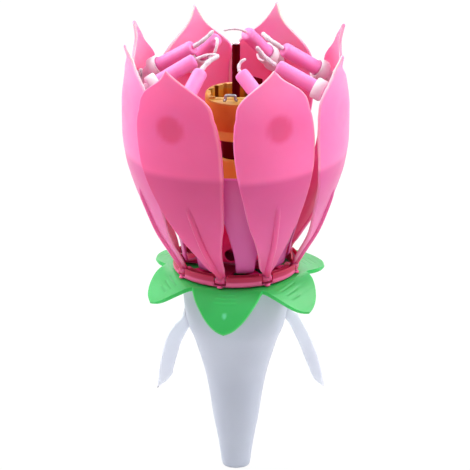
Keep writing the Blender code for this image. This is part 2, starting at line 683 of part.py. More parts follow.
def build_petal_ring():
    floor = RING_BOTTOM + RING_FLOOR
    top = RING_BOTTOM + RING_HEIGHT
    groove = WIRE_RADIUS + CLEAR
    groove_floor = HINGE_Z - WIRE_RADIUS - CLEAR
    profile = [(RING_RADIUS, top), (RING_RADIUS, RING_BOTTOM), (RING_INNER_RADIUS, RING_BOTTOM),
               (RING_INNER_RADIUS, top), (HINGE_RADIUS - groove, top),
               (HINGE_RADIUS - groove, groove_floor), (HINGE_RADIUS + groove, groove_floor),
               (HINGE_RADIUS + groove, top)]
    ring = turned("petal_ring", profile, RING_SEGMENTS, ROSE, closed=True)
    slot_width = 2 * (BARREL_HALF_WIDTH + CLEAR)
    slot_height = top + OVERRUN - floor
    slots = []
    for i in range(PETAL_COUNT):
        slot = block("slot", (RING_WIDTH + 2 * OVERRUN, slot_width, slot_height),
                     collection=CUTTERS)
        slot.rotation_euler.z = math.radians(petal_azimuth(i) - 90.0)
        slot.location = radial(petal_azimuth(i)) * (RING_RADIUS - RING_WIDTH / 2)
        slot.location.z = floor + slot_height / 2
        slots.append(slot)
    add_boolean(ring, merge_objects("ring_slots", slots, collection=CUTTERS), "DIFFERENCE")
    return ring


def build_hinge_wire():
    profile = [(HINGE_RADIUS + x, HINGE_Z + z) for x, z in circle_points(WIRE_RADIUS, WIRE_SIDES)]
    return turned("hinge_wire", profile[::-1], WIRE_STEPS, STEEL, closed=True)


def build_lift_spider():
    """A star with one arm under each petal's heel, round the post."""
    outline = []
    reach = RING_INNER_RADIUS - CLEAR
    root = math.sqrt(SPIDER_HUB_RADIUS**2 - SPIDER_ARM_HALF_WIDTH**2)
    for i in range(PETAL_COUNT):
        along = radial(petal_azimuth(i))
        across = Vector((-along.y, along.x, 0.0)) * SPIDER_ARM_HALF_WIDTH
        for point in (along * root - across, along * reach - across,
                      along * reach + across, along * root + across):
            outline.append((point.x, point.y))
    hole = circle_points(POST_RADIUS + SPIDER_RUNNING_GAP, 16)[::-1]
    spider = plate("lift_spider", [outline, hole], SPIDER_THICKNESS, CRIMSON)
    spider.location.z = (SPIDER_TOP + SPIDER_BOTTOM) / 2
    return spider


def crown_meridian():
    """The lobes' outer line as (r, z): out along the spoke, dipping, then up and outwards."""
    return [(CROWN_RADIUS * out, CROWN_HUB_BOTTOM + CROWN_RISE * up)
            for out, up in CROWN_MERIDIAN_SHARES]


def build_inner_crown():
    lobes = []
    for k in range(PETAL_COUNT):
        middle = CROWN_AZIMUTH_DEG + 360.0 * k / PETAL_COUNT
        rows = []
        for (r, z), share in zip(crown_meridian(), CROWN_HALF_ANGLE_SHARES):
            half = CROWN_HALF_ANGLE_DEG * share
            row = []
            for j in range(CROWN_COLUMNS + 1):
                azimuth = middle + half * (2 * j / CROWN_COLUMNS - 1)
                row.append(radial(azimuth) * r + Vector((0.0, 0.0, z)))
            rows.append(row)
        lobes.append(apply_modifiers(grid_shell("lobe", rows, CROWN_THICKNESS * CROWN_LOBE_SHARE,
                                                collection=CUTTERS)))
    lobes = merge_objects("crown_lobes", lobes, collection=CUTTERS)
    bore = POST_TIP_RADIUS + CLEAR
    hub = turned("inner_crown", [(CROWN_HUB_RADIUS, CROWN_HUB_TOP),
                                 (CROWN_HUB_RADIUS, CROWN_HUB_BOTTOM),
                                 (bore, CROWN_HUB_BOTTOM), (bore, CROWN_HUB_TOP)],
                 24, LILAC, closed=True)
    add_boolean(hub, lobes, "UNION")
    return hub


def build_music_drum():
    bore = POST_TIP_RADIUS + CLEAR
    boss = bore + DRUM_BOSS_WALL
    inner = DRUM_RADIUS - DRUM_WALL
    ceiling = DRUM_TOP - DRUM_WALL
    bore_top = CROWN_HUB_BOTTOM - CLEAR + POST_TIP_LENGTH + CLEAR
    profile = [(0.0, DRUM_TOP), (DRUM_RADIUS - DRUM_EDGE, DRUM_TOP),
               (DRUM_RADIUS, DRUM_TOP - DRUM_EDGE), (DRUM_RADIUS, DRUM_BOTTOM),
               (inner, DRUM_BOTTOM), (inner, ceiling), (boss, ceiling), (boss, DRUM_BOTTOM),
               (bore, DRUM_BOTTOM), (bore, bore_top), (0.0, bore_top)]
    drum = turned("music_drum", profile, DRUM_SEGMENTS, CRIMSON)
    hole = cylinder("sound_hole", SOUND_HOLE_RADIUS, 2 * (DRUM_WALL + OVERRUN), 14,
                    collection=CUTTERS)
    hole.rotation_euler = (math.radians(90.0), 0.0, math.radians(SOUND_HOLE_AZIMUTH_DEG))
    hole.location = radial(SOUND_HOLE_AZIMUTH_DEG) * (DRUM_RADIUS - DRUM_WALL / 2)
    hole.location.z = DRUM_BOTTOM + SOUND_HOLE_RISE
    add_boolean(drum, hole, "DIFFERENCE")
    piezo = turned("piezo_disc", [(inner - CLEAR, DRUM_BOTTOM + PIEZO_RISE + PIEZO_THICKNESS),
                                  (inner - CLEAR, DRUM_BOTTOM + PIEZO_RISE),
                                  (boss + CLEAR, DRUM_BOTTOM + PIEZO_RISE),
                                  (boss + CLEAR, DRUM_BOTTOM + PIEZO_RISE + PIEZO_THICKNESS)],
                   20, BRASS, closed=True)
    return drum, piezo


def build_column():
    """The lower pod, the neck tube and the seed pod, each seated in the next."""
    lower = [(LOWER_POD_RADIUS * share, LOWER_POD_BOTTOM + LOWER_POD_HEIGHT * level)
             for level, share in LOWER_POD_SHARES]
    socket_floor = LOWER_POD_TOP - SOCKET_DEPTH_LOWER
    turned("lower_pod", [(0.0, socket_floor), (SOCKET_RADIUS, socket_floor),
                         (SOCKET_RADIUS, LOWER_POD_TOP)] + lower[::-1]
           + [(0.0, LOWER_POD_BOTTOM)], 26, ORANGE)
    turned("neck_tube", [(NECK_RADIUS, NECK_TOP), (NECK_RADIUS, NECK_BOTTOM),
                         (FUSE_BORE, NECK_BOTTOM), (FUSE_BORE, NECK_TOP)],
           20, MAROON, closed=True)
    outer = [(POD_RADIUS * share, POD_BOTTOM + POD_HEIGHT * level) for level, share in POD_SHARES]
    cavity = POD_RADIUS - POD_WALL
    floor = POD_BOTTOM + POD_FLOOR
    socket_top = POD_BOTTOM + SOCKET_DEPTH_UPPER
    pod = turned("seed_pod", outer[::-1] + [(SOCKET_RADIUS, POD_BOTTOM),
                                            (SOCKET_RADIUS, socket_top), (FUSE_BORE, socket_top),
                                            (FUSE_BORE, floor), (cavity, floor),
                                            (cavity, POD_TOP)],
                 POD_SEGMENTS, ORANGE, closed=True)
    shelf_top = POD_TOP - POD_SHELF_DROP
    shelf_bottom = floor - OVERRUN
    shelf = cylinder("pod_shelf", cavity + POD_WALL / 2, shelf_top - shelf_bottom, POD_SEGMENTS,
                     collection=CUTTERS)
    shelf.location.z = (shelf_top + shelf_bottom) / 2
    keep = block("shelf_front", (2 * POD_RADIUS, POD_RADIUS, POD_HEIGHT), collection=CUTTERS)
    keep.location = (0.0, -POD_SHELF_BACK - POD_RADIUS / 2, shelf.location.z)
    add_boolean(shelf, keep, "INTERSECT")
    add_boolean(pod, shelf, "UNION")
    front_top = POD_TOP - POD_FRONT_DROP
    front = block("rim_front", (2 * (POD_RADIUS + OVERRUN), POD_RADIUS, POD_HEIGHT),
                  collection=CUTTERS)
    front.location = (0.0, -POD_FRONT_OPEN - POD_RADIUS / 2, front_top + POD_HEIGHT / 2)
    add_boolean(pod, front, "DIFFERENCE")
    grooves = []
    for i in range(POD_GROOVE_COUNT):
        groove = cylinder("groove", POD_GROOVE_RADIUS, POD_HEIGHT, 6, collection=CUTTERS)
        azimuth = 180.0 + POD_GROOVE_SPREAD_DEG * (i / (POD_GROOVE_COUNT - 1) - 0.5)
        groove.location = radial(azimuth) * cavity
        groove.location.z = POD_TOP + POD_HEIGHT * (0.5 - POD_GROOVE_DEPTH_SHARE)
        grooves.append(groove)
    notch = cylinder("groove", POD_NOTCH_RADIUS, POD_HEIGHT, 8, collection=CUTTERS)
    notch.location = (-math.sqrt(cavity**2 - POD_SHELF_BACK**2), -POD_SHELF_BACK,
                      POD_TOP + POD_HEIGHT * (0.5 - POD_NOTCH_DEPTH_SHARE))
    grooves.append(notch)
    add_boolean(pod, merge_objects("pod_grooves", grooves, collection=CUTTERS), "DIFFERENCE")
    return front_top


def build_fuse(front_top):
    bottom = NECK_TOP - FUSE_BOTTOM_IN_NECK
    tip_bottom = FUSE_TOP - FUSE_TIP_LENGTH
    stick_top = tip_bottom - CLEAR
    stick = cylinder("fuse_stick", FUSE_RADIUS, stick_top - bottom, 12, MAROON)
    stick.location.z = (stick_top + bottom) / 2
    smooth(stick)
    tip = cylinder("fuse_tip", FUSE_RADIUS, FUSE_TIP_LENGTH, 12, STEEL)
    tip.location.z = (FUSE_TOP + tip_bottom) / 2
    smooth(add_bevel(tip, FUSE_TIP_ROUND))
    low = front_top + CLEAR + STAPLE_WIRE_RADIUS
    y = -POD_SHELF_BACK - STAPLE_FORWARD
    left = -STAPLE_OFFSET - STAPLE_HALF_SPAN
    right = -STAPLE_OFFSET + STAPLE_HALF_SPAN
    path = [(left - STAPLE_FOOT, y - STAPLE_FOOT, low), (left, y - STAPLE_FOOT / 2, low),
            (left, y, low + STAPLE_HEIGHT), (right, y, low + STAPLE_HEIGHT),
            (right, y - STAPLE_FOOT / 2, low), (right + STAPLE_FOOT, y - STAPLE_FOOT, low)]
    smooth(tube("fuse_staple", path, STAPLE_WIRE_RADIUS, STEEL))
    bead = block("ignition_bead", (BEAD_LENGTH, BEAD_WIDTH, BEAD_HEIGHT), MAROON)
    bead.rotation_euler.z = math.radians(BEAD_AZIMUTH_DEG)
    bead.location = radial(BEAD_AZIMUTH_DEG) * (POD_RADIUS - POD_WALL / 4)
    bead.location.z = POD_TOP + CLEAR + BEAD_HEIGHT / 2
    smooth(add_bevel(bead, BEAD_ROUND, 2))


def petal_centre(index, share):
    """Centre of the blade's outer face at a height share, in the petal's own frame."""
    rise = max(0.0, share - PETAL_LEAN_START_SHARE) / (1.0 - PETAL_LEAN_START_SHARE)
    lean = math.radians(PETAL_LEAN_DEG[index] * rise**PETAL_LEAN_POWER)
    radius = HINGE_RADIUS + PETAL_BULGE * sample(PETAL_MERIDIAN_SHARES, share)
    out = Vector((math.cos(lean), math.sin(lean), 0.0))
    centre = out * radius - Vector((HINGE_RADIUS, 0.0, 0.0))
    centre.z = PETAL_HEIGHT * PETAL_HEIGHT_SHARES[index] * share
    return centre, out, radius


def petal_half_width(index, share):
    """Half the blade's width; a power over 1 makes its point shorter and blunter."""
    start = PETAL_POINT_START_SHARE
    if share > start:
        point = (share - start) / (1.0 - start)
        share = start + (1.0 - start) * point ** PETAL_POINT_POWERS[index]
    return PETAL_HALF_WIDTH * sample(PETAL_WIDTH_SHARES, share)


def blade_point(index, share, across):
    """A point on the blade's outer face; across runs from -1 to 1 over its width."""
    centre, out, radius = petal_centre(index, share)
    side = Vector((-out.y, out.x, 0.0))
    angle = petal_half_width(index, share) * across / radius
    x = radius * math.sin(angle)
    sag = radius * (1.0 - math.cos(angle))
    grip = min(1.0, share / PETAL_TWIST_FULL_SHARE)
    twist = math.radians(PETAL_TWIST_DEG[index]) * grip
    inwards = sag * math.cos(twist) + x * math.sin(twist)
    return centre + side * (x * math.cos(twist)) - out * inwards


def make_pivot(index):
    """The empty that stands on a petal's hinge axis, with X outwards and Y along the axis."""
    azimuth = petal_azimuth(index)
    pivot = bpy.data.objects.new("petal_pivot_%d" % (index + 1), None)
    pivot.empty_display_size = BARREL_HALF_WIDTH
    pivot.location = radial(azimuth) * HINGE_RADIUS + Vector((0.0, 0.0, HINGE_Z))
    pivot.rotation_euler.z = math.radians(azimuth - 90.0)
    return link(pivot)


def build_petal(index, pivot):
    tag = "_%d" % (index + 1)
    rows = []
    for share in PETAL_ROW_SHARES:
        rows.append([blade_point(index, share, 2 * j / PETAL_COLUMNS - 1)
                     for j in range(PETAL_COLUMNS + 1)])
    petal = grid_shell("petal" + tag, rows, PETAL_THICKNESS, PINK)
    petal.parent = pivot
    rib = tube("rib" + tag, [petal_centre(index, share)[0] for share, width in RIB_ROW_SHARES],
               RIB_RADIUS, shares=[width for share, width in RIB_ROW_SHARES],
               collection=CUTTERS)
    barrel = cylinder("barrel" + tag, BARREL_RADIUS, 2 * BARREL_HALF_WIDTH, BARREL_SIDES,
                      collection=CUTTERS)
    barrel.rotation_euler.x = math.radians(90.0)
    barrel.location.x = BARREL_OFFSET
    heel = block("heel" + tag, (HEEL_LENGTH, 2 * HEEL_HALF_WIDTH, HEEL_THICKNESS),
                 collection=CUTTERS)
    heel.location.x = -HEEL_LENGTH / 2
    bore = cylinder("bore" + tag, WIRE_RADIUS + CLEAR, 2 * (BARREL_HALF_WIDTH + OVERRUN), 8,
                    collection=CUTTERS)
    bore.rotation_euler.x = math.radians(90.0)
    for piece, operation in ((barrel, "UNION"), (heel, "UNION"), (rib, "UNION"),
                             (bore, "DIFFERENCE")):
        piece.parent = pivot
        add_boolean(petal, piece, operation)
    return petal


def candle_axis(index):
    """A mini candle's base point and direction in its petal's frame."""
    share = CANDLE_BASE_HEIGHT_SHARE * CANDLE_UP_SHARES[index]
    level = PETAL_HEIGHT * share
    out = petal_centre(index, share)[1]
    base = out * (CANDLE_BASE_RADIUS * CANDLE_OUT_SHARES[index])
    base -= Vector((HINGE_RADIUS, 0.0, -level))
    rise = math.radians(CANDLE_RISE_DEG[index])
    yaw = Matrix.Rotation(math.radians(CANDLE_YAW_DEG[index]), 3, "Z")
    direction = yaw @ (-out) * math.cos(rise) + Vector((0.0, 0.0, math.sin(rise)))
    return base, direction.normalized()


def aim(direction):
    """A rotation that turns +Z to the direction."""
    return direction.to_track_quat("Z", "Y").to_matrix().to_4x4()


def build_holder(index, pivot):
    tag = "_%d" % (index + 1)
    base, direction = candle_axis(index)
    cup_inner = CANDLE_RADIUS + CLEAR
    cup_outer = cup_inner + HOLDER_WALL
    floor = -CLEAR
    mouth = floor + HOLDER_DEPTH
    holder = turned("candle_holder" + tag,
                    [(0.0, floor), (cup_inner, floor), (cup_inner, mouth), (cup_outer, mouth),
                     (cup_outer, floor - HOLDER_FLOOR / 2),
                     (cup_outer - HOLDER_FLOOR / 2, floor - HOLDER_FLOOR),
                     (0.0, floor - HOLDER_FLOOR)], HOLDER_SIDES, WHITE)
    holder.matrix_local = Matrix.Translation(base) @ aim(direction)
    holder.parent = pivot
    face = blade_point(index, HOLDER_FOOT_SHARE, 0.0)
    side = (blade_point(index, HOLDER_FOOT_SHARE, HOLDER_ACROSS_STEP)
            - blade_point(index, HOLDER_FOOT_SHARE, -HOLDER_ACROSS_STEP))
    along = (blade_point(index, HOLDER_FOOT_SHARE + HOLDER_ALONG_STEP, 0.0)
             - blade_point(index, HOLDER_FOOT_SHARE - HOLDER_ALONG_STEP, 0.0))
    inward = along.cross(side).normalized()
    if inward.x > 0:
        inward.negate()
    seat = face + inward * (PETAL_THICKNESS + 2 * CLEAR)
    foot = cylinder("holder_foot" + tag, HOLDER_FOOT_RADIUS, HOLDER_FOOT_THICKNESS, HOLDER_SIDES,
                    collection=CUTTERS)
    foot.matrix_local = Matrix.Translation(seat + inward * (HOLDER_FOOT_THICKNESS / 2)) @ aim(inward)
    foot.parent = pivot
    start = seat + inward * (HOLDER_FOOT_THICKNESS / 2)
    end = base - direction * (CLEAR + HOLDER_FLOOR / 2)
    reach = (end - start).length * HOLDER_BEND_SHARE
    neck = tube("holder_neck" + tag,
                [start, start + inward * reach, end - direction * reach, end],
                HOLDER_NECK_RADIUS, collection=CUTTERS)
    neck.parent = pivot
    add_boolean(holder, neck, "UNION")
    add_boolean(holder, foot, "UNION")
    return holder


def build_candle(index, pivot):
    tag = "_%d" % (index + 1)
    base, direction = candle_axis(index)
    candle = cylinder("mini_candle" + tag, CANDLE_RADIUS, CANDLE_LENGTH, CANDLE_SIDES, WAX)
    candle.matrix_local = Matrix.Translation(base + direction * (CANDLE_LENGTH / 2)) @ aim(direction)
    candle.parent = pivot
    smooth(add_bevel(candle, CANDLE_ROUND))
    tip = base + direction * (CANDLE_LENGTH + WICK_SEAT)
    up = (Vector((0.0, 0.0, 1.0)) - direction * direction.z).normalized()
    side = Matrix.Rotation(math.radians(WICK_ROLL_DEG[index]), 3, direction) @ up
    bend = math.radians(WICK_BEND_DEG[index])
    arc = WICK_LENGTH[index] / bend
    points = []
    for i in range(WICK_STEPS + 1):
        angle = bend * i / WICK_STEPS
        points.append(tip + direction * (arc * math.sin(angle))
                      + side * (arc * (1.0 - math.cos(angle))))
    wick = tube("wick" + tag, points, WICK_RADIUS[index], WICK, sides_level=0)
    wick.parent = pivot
    smooth(wick)


def main():
    build_stem()
    build_base_housing()
    build_music_works()
    build_opening_spring()
    build_calyx()
    build_petal_ring()
    build_hinge_wire()
    build_lift_spider()
    build_inner_crown()
    build_music_drum()
    build_fuse(build_column())
    for index in range(PETAL_COUNT):
        pivot = make_pivot(index)
        build_petal(index, pivot)
        build_holder(index, pivot)
        build_candle(index, pivot)


main()
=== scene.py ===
"""Looks of the lotus-bud musical candle: fine petals, calyx, stem, wax candles and wicks.

Units are metres and +Z is up. An azimuth is measured round the stem from -Y, positive
towards +X. The shapes repeat the CAD's own formulas at a finer step, in the same places.
"""
import math

import bmesh
import bpy
from mathutils import Matrix, Vector


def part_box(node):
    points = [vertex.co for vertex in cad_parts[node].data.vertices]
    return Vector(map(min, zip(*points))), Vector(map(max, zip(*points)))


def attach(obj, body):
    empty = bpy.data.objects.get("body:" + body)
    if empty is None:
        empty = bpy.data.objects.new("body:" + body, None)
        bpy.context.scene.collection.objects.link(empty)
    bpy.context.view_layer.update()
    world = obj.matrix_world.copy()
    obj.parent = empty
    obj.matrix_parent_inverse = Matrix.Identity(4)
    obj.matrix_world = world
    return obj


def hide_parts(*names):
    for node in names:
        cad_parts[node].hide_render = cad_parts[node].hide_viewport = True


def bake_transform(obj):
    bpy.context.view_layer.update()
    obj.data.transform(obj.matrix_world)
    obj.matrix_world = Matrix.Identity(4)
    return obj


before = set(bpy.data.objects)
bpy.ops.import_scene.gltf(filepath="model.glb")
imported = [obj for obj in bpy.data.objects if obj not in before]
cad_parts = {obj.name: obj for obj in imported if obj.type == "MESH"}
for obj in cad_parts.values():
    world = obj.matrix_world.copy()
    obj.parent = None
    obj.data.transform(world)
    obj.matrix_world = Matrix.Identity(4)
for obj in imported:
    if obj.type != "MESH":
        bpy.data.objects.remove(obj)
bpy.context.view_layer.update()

# Sizes shared with the CAD
CLEAR = 0.0003
STEM_HEIGHT = 0.0586
STEM_FOOT_RADIUS = 0.0040
STEM_TOP_RADIUS = 0.0156
STEM_WALL = 0.0012
STEM_FOOT_THICKNESS = 0.0016
STEM_FOOT_ROUND = 0.0005
STEM_TAPER_SHARES = [(0.0, 0.0), (0.131, 0.095), (0.268, 0.224), (0.403, 0.328),
                     (0.505, 0.431), (0.623, 0.603), (0.70, 0.733), (0.745, 0.836),
                     (0.853, 0.948), (1.0, 1.0)]
FIN_TOP_BELOW_RIM = 0.0076
FIN_THICKNESS = 0.0014
FIN_EDGE_ROUND = 0.00035
FIN_REACH_LEFT = 0.0229
FIN_DROP_LEFT = 0.0268
FIN_SHARES_LEFT = [(0.633, 0.0), (0.651, 0.086), (0.694, 0.194), (0.764, 0.257),
                   (0.838, 0.343), (0.882, 0.418), (0.913, 0.504), (0.943, 0.612),
                   (0.974, 0.765), (1.0, 0.981), (0.983, 1.0), (0.825, 0.873),
                   (0.790, 0.765), (0.747, 0.627), (0.707, 0.504), (0.655, 0.396),
                   (0.607, 0.321), (0.572, 0.276)]
FIN_REACH_RIGHT = 0.0256
FIN_DROP_RIGHT = 0.0265
FIN_SHARES_RIGHT = [(0.570, 0.0), (0.602, 0.068), (0.658, 0.121), (0.699, 0.151),
                    (0.742, 0.226), (0.809, 0.347), (0.855, 0.445), (0.898, 0.555),
                    (0.938, 0.672), (0.969, 0.796), (0.988, 0.906), (1.0, 0.985),
                    (0.980, 1.0), (0.898, 0.928), (0.861, 0.868), (0.824, 0.774),
                    (0.777, 0.657), (0.734, 0.540), (0.680, 0.423), (0.641, 0.336),
                    (0.594, 0.249), (0.531, 0.174)]
CALYX_THICKNESS = 0.0012
CALYX_BORE = 0.0050
CALYX_DISC_RADIUS = 0.0176
CALYX_VALLEY_RADIUS = 0.0208
CALYX_TIP_RADIUS = 0.0273
CALYX_DROOP = 0.0112
CALYX_DROOP_POWER = 1.7
CALYX_AZIMUTH_DEG = -8.0
LEAF_COUNT = 6
LEAF_DROOP_SHARES = [1.0, 0.71, 0.15, 0.3, 0.1, 0.63]
LEAF_OUTLINE_SHARES = [(0.0, 1.0), (0.2, 0.93), (0.4, 0.80), (0.6, 0.60), (0.78, 0.38),
                       (0.9, 0.17), (1.0, 0.0)]
HINGE_RADIUS = 0.0172
PETAL_COUNT = 8
PETAL_FIRST_AZIMUTH_DEG = -15.0
PETAL_LEAN_DEG = [-22.5, -10.5, -6.2, -12.0, -6.3, -8.3, -10.6, -16.4]
PETAL_LEAN_START_SHARE = 0.03
PETAL_LEAN_POWER = 0.55
PETAL_HEIGHT_SHARES = [0.975, 1.0, 0.972, 1.005, 1.005, 0.995, 1.0, 1.0]
PETAL_POINT_POWERS = [1.7, 1.7, 1.2, 1.0, 1.0, 1.0, 1.0, 1.2]
PETAL_POINT_START_SHARE = 0.8
PETAL_TWIST_DEG = [10.0, 6.0, 0.0, -9.0, 6.0, 6.0, 8.0, 1.5]
PETAL_TWIST_FULL_SHARE = 0.2
PETAL_HEIGHT = 0.0677
PETAL_BULGE = 0.0154
PETAL_HALF_WIDTH = 0.0135
PETAL_THICKNESS = 0.0010
PETAL_MERIDIAN_SHARES = [(0.0, 0.0), (0.081, 0.208), (0.183, 0.468), (0.29, 0.662),
                         (0.397, 0.831), (0.471, 0.922), (0.594, 0.994), (0.727, 1.0),
                         (0.863, 0.942), (0.929, 0.935), (1.0, 1.026)]
PETAL_WIDTH_SHARES = [(0.0, 0.109), (0.022, 0.109), (0.045, 0.18), (0.112, 0.28),
                      (0.21, 0.46), (0.30, 0.64), (0.428, 0.82), (0.57, 0.97), (0.674, 1.0),
                      (0.765, 0.96), (0.815, 0.86), (0.851, 0.69), (0.882, 0.50), (0.926, 0.25),
                      (0.97, 0.105), (1.0, 0.035)]
RIB_RADIUS = 0.0009
RIB_SHARES = [(0.0, 1.0), (0.05, 1.0), (0.12, 0.97), (0.20, 0.93), (0.27, 0.86),
              (0.33, 0.72), (0.36, 0.5), (0.375, 0.25), (0.385, 0.0)]
BARREL_RADIUS = 0.00115
BARREL_HALF_WIDTH = 0.0015
BARREL_OFFSET = 0.0002
HEEL_LENGTH = 0.0026
HEEL_THICKNESS = 0.0009
HEEL_HALF_WIDTH = 0.0012
CROWN_RISE = 0.0305
CROWN_RADIUS = 0.0225
CROWN_AZIMUTH_DEG = 10.0
CROWN_THICKNESS = 0.0009
CROWN_LOBE_SHARE = 0.87
CROWN_HUB_RADIUS = 0.0090
CROWN_MERIDIAN_SHARES = [(0.373, 0.002), (0.489, -0.005), (0.60, -0.021), (0.68, -0.008),
                         (0.724, 0.146), (0.80, 0.343), (0.902, 0.606), (0.978, 0.869),
                         (1.0, 1.0)]
CROWN_HALF_ANGLE_SHARES = [0.50, 0.45, 0.45, 0.47, 0.54, 0.74, 0.97, 0.975, 0.975]
CROWN_HALF_ANGLE_DEG = 22.0
RING_RADIUS = 0.0182
RING_WIDTH = 0.00225
RING_FLOOR = 0.00055
RING_HEIGHT = 0.0033
WIRE_RADIUS = 0.0004
POST_RADIUS = 0.0022
SPRING_WIRE_RADIUS = 0.0003
SPRING_TURNS = 7
DRUM_RADIUS = 0.0108
DRUM_WALL = 0.0009
DRUM_EDGE = 0.0009
DRUM_BOSS_RADIUS = 0.0032
DRUM_BORE = 0.0016
DRUM_BORE_DEPTH = 0.0088
SOUND_HOLE_RADIUS = 0.0019
SOUND_HOLE_RISE = 0.0021
SOUND_HOLE_AZIMUTH_DEG = -7.7
LOWER_POD_RADIUS = 0.0082
LOWER_POD_SHARES = [(0.0, 0.86), (0.12, 0.96), (0.30, 1.0), (0.55, 0.93), (0.80, 0.79),
                    (0.95, 0.70), (1.0, 0.64)]
POD_RADIUS = 0.0089
POD_SHARES = [(0.0, 0.60), (0.02, 0.86), (0.20, 0.90), (0.25, 0.93), (0.55, 0.985),
              (0.90, 1.0), (0.97, 0.99), (1.0, 0.95)]
POD_WALL = 0.0016
POD_FLOOR = 0.0050
POD_SHELF_DROP = 0.0007
POD_SHELF_BACK = 0.0029
POD_FRONT_DROP = 0.0009
POD_FRONT_OPEN = 0.0042
POD_GROOVE_COUNT = 7
POD_GROOVE_RADIUS = 0.0008
POD_NOTCH_RADIUS = 0.0009
POD_GROOVE_SPREAD_DEG = 150.0
POD_GROOVE_DEPTH_SHARE = 0.35
POD_NOTCH_DEPTH_SHARE = 0.2
SOCKET_DEPTH_LOWER = 0.0040
SOCKET_DEPTH_UPPER = 0.0020
NECK_RADIUS = 0.0043
FUSE_RADIUS = 0.00115
STAPLE_WIRE_RADIUS = 0.00042
STAPLE_HALF_SPAN = 0.0014
STAPLE_HEIGHT = 0.0013
STAPLE_FOOT = 0.0006
STAPLE_FORWARD = 0.0038
STAPLE_OFFSET = 0.0016
BEAD_LENGTH = 0.0042
BEAD_WIDTH = 0.0024
BEAD_HEIGHT = 0.0016
BEAD_AZIMUTH_DEG = 139.0
CANDLE_RADIUS = 0.00215
CANDLE_LENGTH = 0.0142
CANDLE_BASE_RADIUS = 0.0260
CANDLE_BASE_HEIGHT_SHARE = 0.811
CANDLE_OUT_SHARES = [1.065, 1.023, 0.988, 1.0, 1.038, 1.038, 0.985, 0.95]
CANDLE_UP_SHARES = [0.978, 0.989, 1.002, 1.0, 0.984, 0.987, 1.005, 1.013]
CANDLE_RISE_DEG = [34.9, 38.1, 23.6, 34.3, 41.8, 35.2, 33.0, 26.5]
CANDLE_YAW_DEG = [5.0, 26.0, 1.0, 2.0, -16.0, 0.0, 2.0, 2.0]
HOLDER_WALL = 0.0007
HOLDER_FLOOR = 0.0010
HOLDER_DEPTH = 0.0022
HOLDER_FOOT_RADIUS = 0.0033
HOLDER_FOOT_THICKNESS = 0.0010
HOLDER_NECK_RADIUS = 0.0015
HOLDER_FOOT_SHARE = 0.752
HOLDER_BEND_SHARE = 0.35
WICK_LENGTH = [0.0076, 0.0050, 0.0087, 0.0087, 0.0084, 0.0069, 0.0076, 0.0076]
WICK_RADIUS = [0.00075, 0.0005, 0.0008, 0.0008, 0.0004, 0.0005, 0.0007, 0.0005]
WICK_BEND_DEG = [40.0, 120.0, 60.0, 95.0, 70.0, 140.0, 55.0, 65.0]
WICK_ROLL_DEG = [120.0, 45.0, -35.0, 85.0, 135.0, 155.0, -70.0, 105.0]
WICK_SEAT = 0.0003

# Levels read from the frame
HINGE_Z = sum(v.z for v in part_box("hinge_wire")) / 2
CALYX_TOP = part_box("calyx")[1].z
CROWN_HUB_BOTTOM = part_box("lift_spider")[1].z + 0.0024 + CLEAR

# Surface detail that only the looks have
PETAL_ROWS = 84
PETAL_SIDE_COLUMNS = 12
RIDGE_OFFSET_SHARES = [-1.5, -1.2, -1.0, -0.85, -0.6, -0.3, 0.0, 0.3, 0.6, 0.85, 1.0, 1.2, 1.5]
DIMPLE_RADIUS = 0.0050
DIMPLE_DEPTH = 0.00018
DIMPLE_DROP = 0.0005
DIMPLE_SHIFT = [-0.0007, 0.0009, 0.0, 0.0, 0.0, 0.0, 0.0, 0.0]
VEIN_DEPTH = 0.00016
VEIN_PLACES = [0.0060, 0.0038, 0.0018]
VEIN_PLACES_FRONT = [0.0034, 0.0049, 0.0064]
VEIN_REACHES = [0.0046, 0.0040, 0.0028]
VEIN_SIDEWAYS = 0.0018
VEIN_CURVE_RADIUS = 0.0100
VEIN_WIDTH = 0.00024
VEIN_SHARES = [-0.9, 1.0, 0.6, 0.6, 0.6, 1.0]
GATE_SHARE = 0.72
GATE_RADIUS = 0.0008
GATE_TINT = (6.0, 1.35, 3.4)
# Painted shade in the leaves' grooves and painted highlight on the front leaf's raised arcs
VEIN_LIGHT_AND_SHADE_TINT = (0.75, 0.85, 0.80)
RING_ROUND = 0.0010
RING_RIM_ROUND = 0.0002
RING_SLOT_ROUND = 0.00015
RING_LUG_RADIUS = 0.0009
RING_LUG_HEIGHT = 0.0006
POD_EDGE_ROUND = 0.00022
# Painted shade: the petals' outer faces darken below the crown's top, where the crown stands behind
# them
CROWN_SHADE_TOP = 0.0985
CROWN_SHADE_TINT = (0.72, 0.46, 0.68)
# Painted shade over the dimple, where the holder's foot stands behind the blade
DIMPLE_SHADE_TINT = (0.93, 0.46, 0.60)
DIMPLE_SHADE_SHARES = [1.0, 1.0, 0.15, 0.6, 0.6, 0.6, 0.6, 0.15]
# Painted light: whole petals made paler, most on the side petals, where the side lamps fall
PAINTED_LIGHT_TINT = (1.03, 1.55, 1.27)
PAINTED_LIGHT_SHARES = [0.2, 0.85, 1.6, 0.6, 0.5, 0.6, 0.6, 1.5]
# Painted highlight: the petal tips paler towards the top, where the light from above falls
TIP_LIGHT_TINT = (1.08, 1.6, 1.25)
TIP_LIGHT_SHARES = [0.6, 1.0, 0.8, 0.2, 0.6, 0.6, 0.8, 0.8]
TIP_FROM = 0.1140
TIP_TO = 0.1280
RIB_TINT = (0.98, 0.76, 0.85)
# Painted highlight along the blade edges
EDGE_HIGHLIGHT_TINT = (1.10, 2.1, 1.15)
